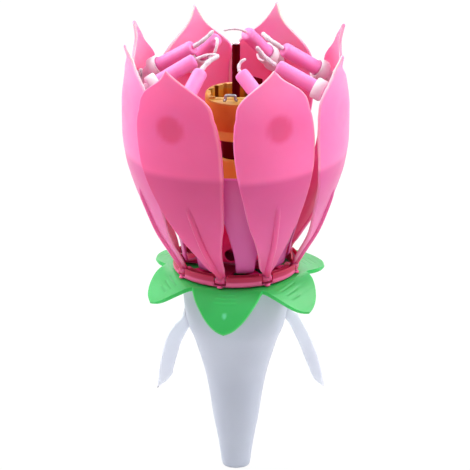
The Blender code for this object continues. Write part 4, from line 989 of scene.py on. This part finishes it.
def build_holder(index):
    tag = "_%d" % (index + 1)
    place = petal_matrix(index)
    base, direction = candle_axis(index)
    inner = CANDLE_RADIUS + CLEAR * 0.6
    outer = CANDLE_RADIUS + CLEAR + HOLDER_WALL
    floor = -CLEAR
    mouth = floor + HOLDER_DEPTH
    lip = HOLDER_WALL * 0.3
    cup = turned("cup" + tag, [(0.0, floor), (inner, floor), (inner, mouth - lip),
                               (inner + lip, mouth), (outer - lip, mouth), (outer, mouth - lip),
                               (outer, floor - HOLDER_FLOOR * 0.5),
                               (outer - HOLDER_FLOOR * 0.25, floor - HOLDER_FLOOR * 0.85),
                               (outer - HOLDER_FLOOR * 0.6, floor - HOLDER_FLOOR),
                               (0.0, floor - HOLDER_FLOOR)], WHITE, 32)
    cup.matrix_world = place @ Matrix.Translation(base) @ aim(direction)
    seat, inward = holder_seat(index)
    half = HOLDER_FOOT_THICKNESS
    r = HOLDER_FOOT_RADIUS
    foot = turned("foot" + tag, [(0.0, half), (r * 0.55, half), (r * 0.85, half * 0.8),
                                 (r, half * 0.45), (r, half * 0.1), (r * 0.96, 0.0), (0.0, 0.0)],
                  WHITE, 32)
    foot.matrix_world = place @ Matrix.Translation(seat) @ aim(inward)
    start = seat + inward * (HOLDER_FOOT_THICKNESS / 2)
    end = base - direction * (CLEAR + HOLDER_FLOOR / 2)
    reach = (end - start).length * HOLDER_BEND_SHARE
    path = smooth_path([start, start + inward * reach, end - direction * reach, end], 8)
    path = [place @ point for point in path]
    count = len(path) - 1
    radii = [HOLDER_NECK_RADIUS * (1.0 + 0.25 * (2.0 * i / count - 1.0)**4)
             for i in range(count + 1)]
    neck = swept_tube("neck" + tag, path, radii, WHITE, 20)
    holder = merge("white_candle_holder" + tag, [cup, foot, neck])
    sharp_smooth(holder, 45.0)
    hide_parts("candle_holder" + tag)
    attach(holder, "petal_body" + tag)


# Calyx

def calyx_point(azimuth_deg, share):
    """A point on the calyx's top, from the edge of its disc (0) to its outline (1)."""
    spread = 360.0 / LEAF_COUNT
    turn = (azimuth_deg - CALYX_AZIMUTH_DEG) / spread
    leaf = int(math.floor(turn + 0.5)) % LEAF_COUNT
    off = abs(turn - math.floor(turn + 0.5)) * 2
    edge = CALYX_VALLEY_RADIUS + (CALYX_TIP_RADIUS - CALYX_VALLEY_RADIUS) * sample(
        LEAF_OUTLINE_SHARES, off)
    edge -= CALYX_THICKNESS * 0.3
    radius = CALYX_DISC_RADIUS + (edge - CALYX_DISC_RADIUS) * share
    along = radius * math.cos(math.radians(off * spread / 2))
    run = max(0.0, (along - CALYX_DISC_RADIUS) / (CALYX_TIP_RADIUS - CALYX_DISC_RADIUS))
    droop = CALYX_DROOP * LEAF_DROOP_SHARES[leaf] * run**CALYX_DROOP_POWER
    return radial(azimuth_deg) * radius + Vector((0.0, 0.0, CALYX_TOP - droop))


def leaf_place(azimuth_deg, share):
    """The leaf's number and a point's distances from its gate mark: down the leaf and across."""
    spread = 360.0 / LEAF_COUNT
    turn = (azimuth_deg - CALYX_AZIMUTH_DEG) / spread
    leaf = int(math.floor(turn + 0.5)) % LEAF_COUNT
    off = (turn - math.floor(turn + 0.5)) * spread
    reach = CALYX_TIP_RADIUS - CALYX_DISC_RADIUS + CALYX_DROOP * LEAF_DROOP_SHARES[leaf] * 0.4
    across = (CALYX_DISC_RADIUS + reach * share) * math.sin(math.radians(off))
    return leaf, reach * (share - GATE_SHARE), across


def vein_strength(azimuth_deg, share):
    """1 in the curved grooves that run across each leaf, 0 elsewhere."""
    leaf, down, across = leaf_place(azimuth_deg, share)
    strength = 0.0
    middle = 0.0 if leaf == 0 else VEIN_SIDEWAYS * (-1.0 if leaf <= LEAF_COUNT // 2 else 1.0)
    for place, reach in zip(VEIN_PLACES if leaf else VEIN_PLACES_FRONT, VEIN_REACHES):
        gap = down + place - (across + middle)**2 / (2.0 * VEIN_CURVE_RADIUS)
        fade = 1.0 - smoothstep(reach * 0.7, reach, abs(across - middle))
        strength += fade * math.exp(-(gap / VEIN_WIDTH)**2)
    return VEIN_SHARES[leaf] * min(1.0, strength)


def gate_strength(azimuth_deg, share):
    """1 on the front leaf's pale gate mark, 0 elsewhere."""
    leaf, down, across = leaf_place(azimuth_deg, share)
    if leaf != 0:
        return 0.0
    return 1.0 - smoothstep(GATE_RADIUS * 0.5, GATE_RADIUS * 1.3, math.hypot(down, across))


def build_calyx():
    per_leaf = 84
    steps = LEAF_COUNT * per_leaf
    leaf_rows = 44
    azimuths = [CALYX_AZIMUTH_DEG + 360.0 * i / steps for i in range(steps)]
    rings = [[radial(a) * CALYX_BORE + Vector((0.0, 0.0, CALYX_TOP)) for a in azimuths]]
    deep = [[0.0] * steps]
    colors = [[Vector((1.0, 1.0, 1.0))] * steps]
    for i in range(leaf_rows + 1):
        share = i / leaf_rows
        rings.append([calyx_point(a, share) for a in azimuths])
        veins = [vein_strength(a, share) for a in azimuths]
        gates = [gate_strength(a, share) for a in azimuths]
        deep.append([VEIN_DEPTH * (gate * 0.6 - vein) for vein, gate in zip(veins, gates)])
        # Painted shade in the grooves, painted highlight on the front leaf's raised arcs, and the
        # pale gate mark
        colors.append([blend_tint(blend_tint((1.0, 1.0, 1.0), VEIN_LIGHT_AND_SHADE_TINT, vein), GATE_TINT, gate)
                       for vein, gate in zip(veins, gates)])
    rings.reverse()
    deep.reverse()
    colors.reverse()
    normals = grid_normals(rings, wrap=True)
    rows = len(rings)
    verts = []
    for i in range(rows):
        for j in range(steps):
            verts.append(rings[i][j] + normals[i][j] * deep[i][j])
    for i in range(rows):
        for j in range(steps):
            verts.append(rings[i][j] - normals[i][j] * CALYX_THICKNESS)
    inner = rows * steps
    faces = []
    for i in range(rows - 1):
        for j in range(steps):
            n = (j + 1) % steps
            quad = (i * steps + j, i * steps + n, (i + 1) * steps + n, (i + 1) * steps + j)
            faces.append(quad)
            faces.append(tuple(inner + k for k in reversed(quad)))
    middle = len(verts)
    for j in range(steps):
        out = (rings[0][j] - rings[1][j]).normalized()
        verts.append((verts[j] + verts[inner + j]) / 2 + out * (CALYX_THICKNESS * 0.3))
    last = (rows - 1) * steps
    for j in range(steps):
        n = (j + 1) % steps
        faces.append((n, j, middle + j, middle + n))
        faces.append((middle + n, middle + j, inner + j, inner + n))
        faces.append((last + j, last + n, inner + last + n, inner + last + j))
    calyx = mesh_object("leafy_calyx", verts, faces, GREEN)
    tints = calyx.data.color_attributes.new("tint", "FLOAT_COLOR", "POINT")
    flat = [color for row in colors for color in row]
    for i, tint in enumerate(tints.data):
        tint.color = (*flat[i], 1.0) if i < len(flat) else (1.0, 1.0, 1.0, 1.0)
    sharp_smooth(calyx, 55.0)
    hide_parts("calyx")
    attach(calyx, "stem_body")


# Stem with its fins

def stem_outer_profile(steps):
    span = STEM_TOP_RADIUS - STEM_FOOT_RADIUS
    profile = []
    for i in range(steps + 1):
        level = 1.0 - i / steps
        if level > 0.012:
            profile.append((STEM_FOOT_RADIUS + span * sample(STEM_TAPER_SHARES, level),
                            STEM_HEIGHT * level))
    return profile


def fin_outline(side, reach, drop, shares):
    """One fin's outline, smoothed through its points, as (x, z)."""
    top = STEM_HEIGHT - FIN_TOP_BELOW_RIM
    points = [Vector((side * reach * out, 0.0, top - drop * down)) for out, down in shares]
    return smooth_path(points, 4)


def build_stem():
    outer = stem_outer_profile(40)
    soft = STEM_FOOT_ROUND
    foot = [(STEM_FOOT_RADIUS, soft), (STEM_FOOT_RADIUS - soft * 0.3, soft * 0.3),
            (STEM_FOOT_RADIUS - soft, 0.0)]
    inner = [(r - STEM_WALL, z) for r, z in outer]
    inside = [(0.0, STEM_FOOT_THICKNESS)]
    inside += [point for point in inner[::-1] if point[1] > STEM_FOOT_THICKNESS + 0.0001]
    stem = turned("stem_cone", inside + outer + foot + [(0.0, 0.0)], FROST, 96)
    fins = []
    for name, side, reach, drop, shares in (
            ("fin_left", -1, FIN_REACH_LEFT, FIN_DROP_LEFT, FIN_SHARES_LEFT),
            ("fin_right", 1, FIN_REACH_RIGHT, FIN_DROP_RIGHT, FIN_SHARES_RIGHT)):
        outline = fin_outline(side, reach, drop, shares)
        curve = bpy.data.curves.new(name, "CURVE")
        curve.dimensions = "2D"
        curve.fill_mode = "BOTH"
        curve.extrude = FIN_THICKNESS / 2 - FIN_EDGE_ROUND
        curve.bevel_depth = FIN_EDGE_ROUND
        curve.bevel_resolution = 3
        curve.offset = -FIN_EDGE_ROUND
        spline = curve.splines.new("POLY")
        spline.points.add(len(outline) - 1)
        for point, place in zip(spline.points, outline):
            point.co = (place.x, place.z, 0.0, 1.0)
        spline.use_cyclic_u = True
        # The fins take the paler, painted-light copy of the stem's plastic
        curve.materials.append(FIN_FROST_LIT)
        fin = link(bpy.data.objects.new(name, curve))
        fin.rotation_euler.x = math.radians(90.0)
        fins.append(fin)
    piece = merge("frosted_stem", [stem] + fins)
    sharp_smooth(piece, 50.0)
    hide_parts("stem")
    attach(piece, "stem_body")


# Inner crown

def build_crown():
    meridian = [Vector((CROWN_RADIUS * out, share, CROWN_HUB_BOTTOM + CROWN_RISE * up))
                for (out, up), share in zip(CROWN_MERIDIAN_SHARES, CROWN_HALF_ANGLE_SHARES)]
    line = smooth_path(meridian, 6)
    columns = 24
    pieces = []
    for k in range(PETAL_COUNT):
        middle = CROWN_AZIMUTH_DEG + 360.0 * k / PETAL_COUNT
        grid = []
        for point in line:
            half = CROWN_HALF_ANGLE_DEG * point.y - math.degrees(CROWN_THICKNESS * 0.45 / point.x)
            grid.append([radial(middle + half * (2 * j / columns - 1)) * point.x
                         + Vector((0.0, 0.0, point.z)) for j in range(columns + 1)])
        # The lilac lobes' inner faces take crimson as painted shade inside the crown
        pieces.append(closed_shell("lobe_%d" % k, grid, CROWN_THICKNESS * CROWN_LOBE_SHARE, LILAC,
                                   CRIMSON))
    hub_top = CROWN_HUB_BOTTOM + CROWN_THICKNESS
    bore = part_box("music_drum")[1].x * 0.15
    pieces.append(turned("hub", [(CROWN_HUB_RADIUS, hub_top), (CROWN_HUB_RADIUS, CROWN_HUB_BOTTOM),
                                 (bore, CROWN_HUB_BOTTOM), (bore, hub_top)], LILAC, 64,
                         closed=True))
    crown = merge("lilac_crown", pieces)
    sharp_smooth(crown, 50.0)
    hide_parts("inner_crown")
    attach(crown, "stem_body")


# Ring, spring, drum and column

def carve(obj, other, operation):
    step = obj.modifiers.new("carve_" + other.name, "BOOLEAN")
    step.operation = operation
    step.object = other
    step.solver = "EXACT"
    return other


def slab(name, size, place, turn_deg=0.0):
    """A cutting block, centred on a place."""
    mesh = bpy.data.meshes.new(name)
    work = bmesh.new()
    bmesh.ops.create_cube(work, size=1.0)
    bmesh.ops.scale(work, vec=Vector(size), verts=work.verts)
    work.to_mesh(mesh)
    work.free()
    block = link(bpy.data.objects.new(name, mesh))
    block.location = place
    block.rotation_euler.z = math.radians(turn_deg)
    return block


def drop(objects):
    for obj in objects:
        bpy.data.objects.remove(obj, do_unlink=True)


def rounded(points, steps=5):
    """A profile whose corners (r, z, back, on) are cut back by those lengths and made round."""
    result = []
    count = len(points)
    for i, (r, z, back, on) in enumerate(points):
        here = Vector((r, z))
        if not on:
            result.append((r, z))
            continue
        before = Vector(points[i - 1][:2])
        after = Vector(points[(i + 1) % count][:2])
        start = here + (before - here).normalized() * back
        end = here + (after - here).normalized() * on
        for k in range(steps + 1):
            t = k / steps
            point = start.lerp(here, t).lerp(here.lerp(end, t), t)
            result.append((point.x, point.y))
    return result


def build_ring():
    low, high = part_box("petal_ring")
    groove = WIRE_RADIUS + CLEAR
    groove_floor = HINGE_Z - groove
    inner = RING_RADIUS - RING_WIDTH
    profile = rounded([(RING_RADIUS, high.z, RING_RIM_ROUND, RING_ROUND),
                       (RING_RADIUS, low.z, RING_ROUND, RING_ROUND),
                       (inner, low.z, 0.0, 0.0), (inner, high.z, 0.0, 0.0),
                       (HINGE_RADIUS - groove, high.z, 0.0, 0.0),
                       (HINGE_RADIUS - groove, groove_floor, 0.0, 0.0),
                       (HINGE_RADIUS + groove, groove_floor, 0.0, 0.0),
                       (HINGE_RADIUS + groove, high.z, 0.0, 0.0)])
    ring = turned("ring_body", profile, ROSE, 144, closed=True)
    cutters = []
    lugs = []
    floor = low.z + RING_FLOOR
    for index in range(PETAL_COUNT):
        azimuth = petal_azimuth(index)
        size = (RING_WIDTH * 2, 2 * (BARREL_HALF_WIDTH + CLEAR), RING_HEIGHT)
        place = radial(azimuth) * (RING_RADIUS - RING_WIDTH / 2)
        place.z = floor + RING_HEIGHT / 2
        cutters.append(carve(ring, slab("slot_%d" % index, size, place, azimuth - 90.0),
                             "DIFFERENCE"))
        seat = radial(azimuth) * (RING_RADIUS - RING_LUG_RADIUS * 0.35)
        seat.z = low.z
        lug = turned("lug_%d" % index, [(0.0, RING_LUG_HEIGHT),
                                        (RING_LUG_RADIUS * 0.6, RING_LUG_HEIGHT * 0.96),
                                        (RING_LUG_RADIUS * 0.9, RING_LUG_HEIGHT * 0.75),
                                        (RING_LUG_RADIUS, RING_LUG_HEIGHT * 0.4),
                                        (RING_LUG_RADIUS, 0.0), (0.0, 0.0)], ROSE, 20)
        lug.location = seat
        lugs.append(lug)
    round_edges(ring, RING_SLOT_ROUND, 2, 50.0)
    piece = merge("rose_petal_ring", [ring] + lugs)
    drop(cutters)
    sharp_smooth(piece, 45.0)
    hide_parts("petal_ring")
    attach(piece, "stem_body")


def build_spring():
    """The compression spring: a round wire wound in an even helix."""
    low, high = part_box("opening_spring")
    radius = POST_RADIUS + 2 * CLEAR + SPRING_WIRE_RADIUS
    bottom = low.z + SPRING_WIRE_RADIUS
    rise = high.z - low.z - 2 * SPRING_WIRE_RADIUS
    count = SPRING_TURNS * 36
    path = []
    for i in range(count + 1):
        t = i / count
        angle = math.tau * SPRING_TURNS * t
        path.append(Vector((radius * math.cos(angle), radius * math.sin(angle),
                            bottom + rise * t)))
    spring = swept_tube("coiled_opening_spring", path, [SPRING_WIRE_RADIUS] * (count + 1), STEEL,
                        12)
    sharp_smooth(spring, 50.0)
    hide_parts("opening_spring")
    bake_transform(spring)


def build_drum():
    low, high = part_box("music_drum")
    inner = DRUM_RADIUS - DRUM_WALL
    ceiling = high.z - DRUM_WALL
    bore_top = low.z + DRUM_BORE_DEPTH
    edge = [(DRUM_RADIUS - DRUM_EDGE * (1.0 - math.sin(math.radians(a))),
             high.z - DRUM_EDGE * (1.0 - math.cos(math.radians(a)))) for a in range(0, 91, 15)]
    profile = [(0.0, high.z)] + edge + [(DRUM_RADIUS, low.z), (inner, low.z), (inner, ceiling),
                                        (DRUM_BOSS_RADIUS, ceiling), (DRUM_BOSS_RADIUS, low.z),
                                        (DRUM_BORE, low.z), (DRUM_BORE, bore_top), (0.0, bore_top)]
    drum = turned("drum_body", profile, CRIMSON, 96)
    reach = DRUM_WALL * 4
    hole = turned("sound_hole", [(0.0, reach), (SOUND_HOLE_RADIUS, reach),
                                 (SOUND_HOLE_RADIUS, -reach), (0.0, -reach)], CRIMSON, 48)
    hole.rotation_euler = (math.radians(90.0), 0.0, math.radians(SOUND_HOLE_AZIMUTH_DEG))
    place = radial(SOUND_HOLE_AZIMUTH_DEG) * (DRUM_RADIUS - DRUM_WALL / 2)
    place.z = low.z + SOUND_HOLE_RISE
    hole.location = place
    carve(drum, hole, "DIFFERENCE")
    round_edges(drum, DRUM_WALL / 5, 2, 50.0)
    piece = merge("crimson_music_drum", [drum])
    drop([hole])
    sharp_smooth(piece, 40.0)
    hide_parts("music_drum")
    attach(piece, "stem_body")


def build_lower_pod():
    low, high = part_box("lower_pod")
    height = high.z - low.z
    socket = NECK_RADIUS + CLEAR
    floor = high.z - SOCKET_DEPTH_LOWER
    profile = [(0.0, floor), (socket, floor), (socket, high.z)]
    for i in range(25):
        level = 1.0 - i / 24
        profile.append((LOWER_POD_RADIUS * sample(LOWER_POD_SHARES, level), low.z + height * level))
    pod = turned("lower_pod_body", profile + [(0.0, low.z)], LOWER_ORANGE, 96)
    round_edges(pod, CLEAR, 2, 50.0)
    piece = merge("orange_lower_pod", [pod])
    sharp_smooth(piece, 40.0)
    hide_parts("lower_pod")
    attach(piece, "stem_body")


def build_neck():
    low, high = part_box("neck_tube")
    bore = FUSE_RADIUS + CLEAR
    profile = [(NECK_RADIUS, high.z)]
    for i in range(1, 24):
        z = high.z + (low.z - high.z) * i / 24
        profile.append((NECK_RADIUS * (1.0 - 0.006 * (1.0 + math.sin(2.3 * i))), z))
    profile += [(NECK_RADIUS, low.z), (bore, low.z), (bore, high.z)]
    neck = turned("maroon_neck_tube", profile, NECK_MAROON, 64, closed=True)
    sharp_smooth(neck, 40.0)
    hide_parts("neck_tube")
    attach(neck, "stem_body")


def build_seed_pod():
    """The cup with its shelf in front, a lower rim there, and grooves round its inner wall."""
    low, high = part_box("seed_pod")
    height = high.z - low.z
    cavity = POD_RADIUS - POD_WALL
    floor = low.z + POD_FLOOR
    bore = FUSE_RADIUS + CLEAR
    socket = NECK_RADIUS + CLEAR
    profile = []
    for i in range(41):
        level = 1.0 - i / 40
        profile.append((POD_RADIUS * sample(POD_SHARES, level), low.z + height * level))
    profile += [(socket, low.z), (socket, low.z + SOCKET_DEPTH_UPPER),
                (bore, low.z + SOCKET_DEPTH_UPPER), (bore, floor), (cavity, floor),
                (cavity, high.z)]
    pod = turned("pod_body", profile, ORANGE, 96, closed=True)
    shelf_top = high.z - POD_SHELF_DROP
    bottom = floor - CLEAR
    shelf_radius = cavity + POD_WALL / 2
    shelf = turned("pod_shelf", [(0.0, shelf_top), (shelf_radius, shelf_top),
                                 (shelf_radius, bottom), (0.0, bottom)], ORANGE, 96)
    span = POD_RADIUS * 2
    cutters = [shelf]
    cutters.append(carve(shelf, slab("shelf_front", (span, POD_RADIUS, height),
                                     Vector((0.0, -POD_SHELF_BACK - POD_RADIUS / 2, shelf_top))),
                         "INTERSECT"))
    carve(pod, shelf, "UNION")
    front_top = high.z - POD_FRONT_DROP
    front = slab("rim_front", (span * 1.2, POD_RADIUS, height),
                 Vector((0.0, -POD_FRONT_OPEN - POD_RADIUS / 2, front_top + height / 2)))
    cutters.append(carve(pod, front, "DIFFERENCE"))
    places = []
    for i in range(POD_GROOVE_COUNT):
        azimuth = 180.0 + POD_GROOVE_SPREAD_DEG * (i / (POD_GROOVE_COUNT - 1) - 0.5)
        places.append((radial(azimuth) * cavity, POD_GROOVE_RADIUS,
                       high.z - height * POD_GROOVE_DEPTH_SHARE))
    notch = Vector((-math.sqrt(cavity**2 - POD_SHELF_BACK**2), -POD_SHELF_BACK, 0.0))
    places.append((notch, POD_NOTCH_RADIUS, high.z - height * POD_NOTCH_DEPTH_SHARE))
    for i, (place, radius, level) in enumerate(places):
        groove = turned("groove_%d" % i, [(0.0, height), (radius, height), (radius, radius),
                                          (radius * 0.7, radius * 0.3), (0.0, 0.0)], ORANGE, 20)
        groove.location = place
        groove.location.z = level
        cutters.append(carve(pod, groove, "DIFFERENCE"))
    round_edges(pod, POD_EDGE_ROUND, 3, 40.0)
    piece = merge("orange_seed_pod", [pod])
    drop(cutters)
    sharp_smooth(piece, 40.0)
    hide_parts("seed_pod")
    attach(piece, "stem_body")


def build_fuse():
    low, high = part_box("fuse_stick")
    count = 40
    path = [Vector((0.0, 0.0, low.z + (high.z - low.z) * i / count)) for i in range(count + 1)]
    radii = [FUSE_RADIUS * (1.0 - 0.025 * (1.0 + math.sin(1.7 * i)) * math.sin(0.9 * i)**2)
             for i in range(count + 1)]
    stick = swept_tube("maroon_fuse_stick", path, radii, MAROON, 20)
    sharp_smooth(stick, 50.0)
    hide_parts("fuse_stick")
    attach(stick, "stem_body")
    pod_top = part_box("seed_pod")[1].z
    level = pod_top - POD_FRONT_DROP + CLEAR + STAPLE_WIRE_RADIUS
    y = -POD_SHELF_BACK - STAPLE_FORWARD
    left = -STAPLE_OFFSET - STAPLE_HALF_SPAN
    right = -STAPLE_OFFSET + STAPLE_HALF_SPAN
    corners = [Vector((left - STAPLE_FOOT, y - STAPLE_FOOT, level)),
               Vector((left, y - STAPLE_FOOT / 2, level)),
               Vector((left, y, level + STAPLE_HEIGHT)), Vector((right, y, level + STAPLE_HEIGHT)),
               Vector((right, y - STAPLE_FOOT / 2, level)),
               Vector((right + STAPLE_FOOT, y - STAPLE_FOOT, level))]
    path = [corners[0]]
    for before, here, after in zip(corners, corners[1:], corners[2:]):
        start = here + (before - here).normalized() * STAPLE_WIRE_RADIUS
        end = here + (after - here).normalized() * STAPLE_WIRE_RADIUS
        for k in range(5):
            t = k / 4
            path.append(start.lerp(here, t).lerp(here.lerp(end, t), t))
    path.append(corners[-1])
    staple = swept_tube("wire_fuse_staple", path, [STAPLE_WIRE_RADIUS] * len(path), STEEL, 14)
    sharp_smooth(staple, 50.0)
    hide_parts("fuse_staple")
    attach(staple, "stem_body")


def build_bead():
    low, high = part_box("ignition_bead")
    place = (low + high) / 2
    block = slab("bead_body", (BEAD_LENGTH, BEAD_WIDTH, BEAD_HEIGHT), place, BEAD_AZIMUTH_DEG)
    block.data.materials.append(MAROON)
    round_edges(block, BEAD_HEIGHT / 3, 4)
    bead = merge("maroon_ignition_bead", [block])
    for vertex in bead.data.vertices:
        away = vertex.co - place
        vertex.co = place + away * (1.0 - 0.03 * (1.0 + math.sin(4000.0 * away.x + 3000.0 * away.z)))
    sharp_smooth(bead, 50.0)
    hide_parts("ignition_bead")
    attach(bead, "stem_body")


CAD_FINISHES = {
    "base_housing": WHITE, "button_cell_left": STEEL, "button_cell_right": STEEL,
    "battery_clip": BRASS, "circuit_board": BOARD, "music_chip": EPOXY, "switch_leaf": BRASS,
    "hinge_wire": STEEL, "lift_spider": CRIMSON, "piezo_disc": BRASS, "fuse_tip": SILVER,
}


def finish_cad_nodes():
    for name, material in CAD_FINISHES.items():
        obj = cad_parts[name]
        obj.data.materials.clear()
        obj.data.materials.append(material)


# Floor, light and camera

def seen_directly(nodes, links):
    """1 for what the camera sees straight, in a mirror or through glass."""
    path = nodes.new("ShaderNodeLightPath")
    total = path.outputs["Is Camera Ray"]
    for name in ("Is Glossy Ray", "Is Transmission Ray"):
        pick = nodes.new("ShaderNodeMath")
        pick.operation = "MAXIMUM"
        links.new(total, pick.inputs[0])
        links.new(path.outputs[name], pick.inputs[1])
        total = pick.outputs["Value"]
    return total


def build_stage():
    mesh = bpy.data.meshes.new("floor")
    work = bmesh.new()
    bmesh.ops.create_grid(work, x_segments=1, y_segments=1, size=3.0)
    work.to_mesh(mesh)
    work.free()
    floor = link(bpy.data.objects.new("floor", mesh))
    material, nodes, links = new_material("floor_white")
    shader = nodes["Principled BSDF"]
    shader.inputs["Base Color"].default_value = (0.9, 0.9, 0.9, 1.0)
    shader.inputs["Roughness"].default_value = 0.9
    shader.inputs["Specular IOR Level"].default_value = 0.0
    glow = nodes.new("ShaderNodeEmission")
    mix = nodes.new("ShaderNodeMixShader")
    share = nodes.new("ShaderNodeMath")
    share.operation = "MULTIPLY"
    share.inputs[1].default_value = FLOOR_GLOW_SHARE
    links.new(seen_directly(nodes, links), share.inputs[0])
    links.new(share.outputs["Value"], mix.inputs["Fac"])
    links.new(shader.outputs["BSDF"], mix.inputs[1])
    links.new(glow.outputs["Emission"], mix.inputs[2])
    links.new(mix.outputs["Shader"], nodes["Material Output"].inputs["Surface"])
    mesh.materials.append(material)


def build_world():
    world = bpy.data.worlds.new("studio")
    bpy.context.scene.world = world
    world.use_nodes = True
    nodes = world.node_tree.nodes
    links = world.node_tree.links
    nodes.clear()
    output = nodes.new("ShaderNodeOutputWorld")
    fill = nodes.new("ShaderNodeBackground")
    fill.inputs["Color"].default_value = (1.0, 1.0, 1.0, 1.0)
    fill.inputs["Strength"].default_value = WORLD_FILL
    seen = nodes.new("ShaderNodeBackground")
    seen.inputs["Color"].default_value = (1.0, 1.0, 1.0, 1.0)
    seen.inputs["Strength"].default_value = 1.0
    mix = nodes.new("ShaderNodeMixShader")
    links.new(seen_directly(nodes, links), mix.inputs["Fac"])
    links.new(fill.outputs["Background"], mix.inputs[1])
    links.new(seen.outputs["Background"], mix.inputs[2])
    links.new(mix.outputs["Shader"], output.inputs["Surface"])


def add_area(name, place, target, size, power):
    data = bpy.data.lights.new(name, "AREA")
    data.shape = "SQUARE"
    data.size = size
    data.energy = power
    lamp = link(bpy.data.objects.new(name, data))
    lamp.location = place
    lamp.rotation_euler = (target - place).to_track_quat("-Z", "Y").to_euler()


def build_lights():
    target = Vector((0.0, 0.0, 0.08))
    add_area("left_light", Vector((-0.85, 0.25, 0.85)), target, 0.7, 14.8)
    add_area("right_light", Vector((0.85, 0.05, 0.85)), target, 0.7, 13.0)
    add_area("top_light", Vector((0.1, -0.30, 1.15)), target, 0.6, 1.5)
    add_area("back_light", Vector((0.0, 1.0, 0.75)), target, 0.7, 3.7)


def build_camera():
    data = bpy.data.cameras.new("camera")
    camera = link(bpy.data.objects.new("camera", data))
    elevation = math.radians(CAMERA_ELEVATION_DEG)
    away = Vector((0.0, -math.cos(elevation), math.sin(elevation)))
    camera.location = AIM + away * CAMERA_DISTANCE
    camera.rotation_euler = (-away).to_track_quat("-Z", "Y").to_euler()
    data.sensor_width = SENSOR_WIDTH
    data.lens = SENSOR_WIDTH * CAMERA_DISTANCE / (PIXEL_SIZE * PHOTO_SIDE)
    data.clip_start = 0.01
    bpy.context.scene.camera = camera


bpy.context.scene.view_settings.view_transform = "Standard"
finish_cad_nodes()
for petal_index in range(PETAL_COUNT):
    build_petal(petal_index)
    build_candle(petal_index)
    build_holder(petal_index)
build_calyx()
build_stem()
build_crown()
build_ring()
build_spring()
build_drum()
build_lower_pod()
build_neck()
build_seed_pod()
build_fuse()
build_bead()
build_stage()
build_world()
build_lights()
build_camera()
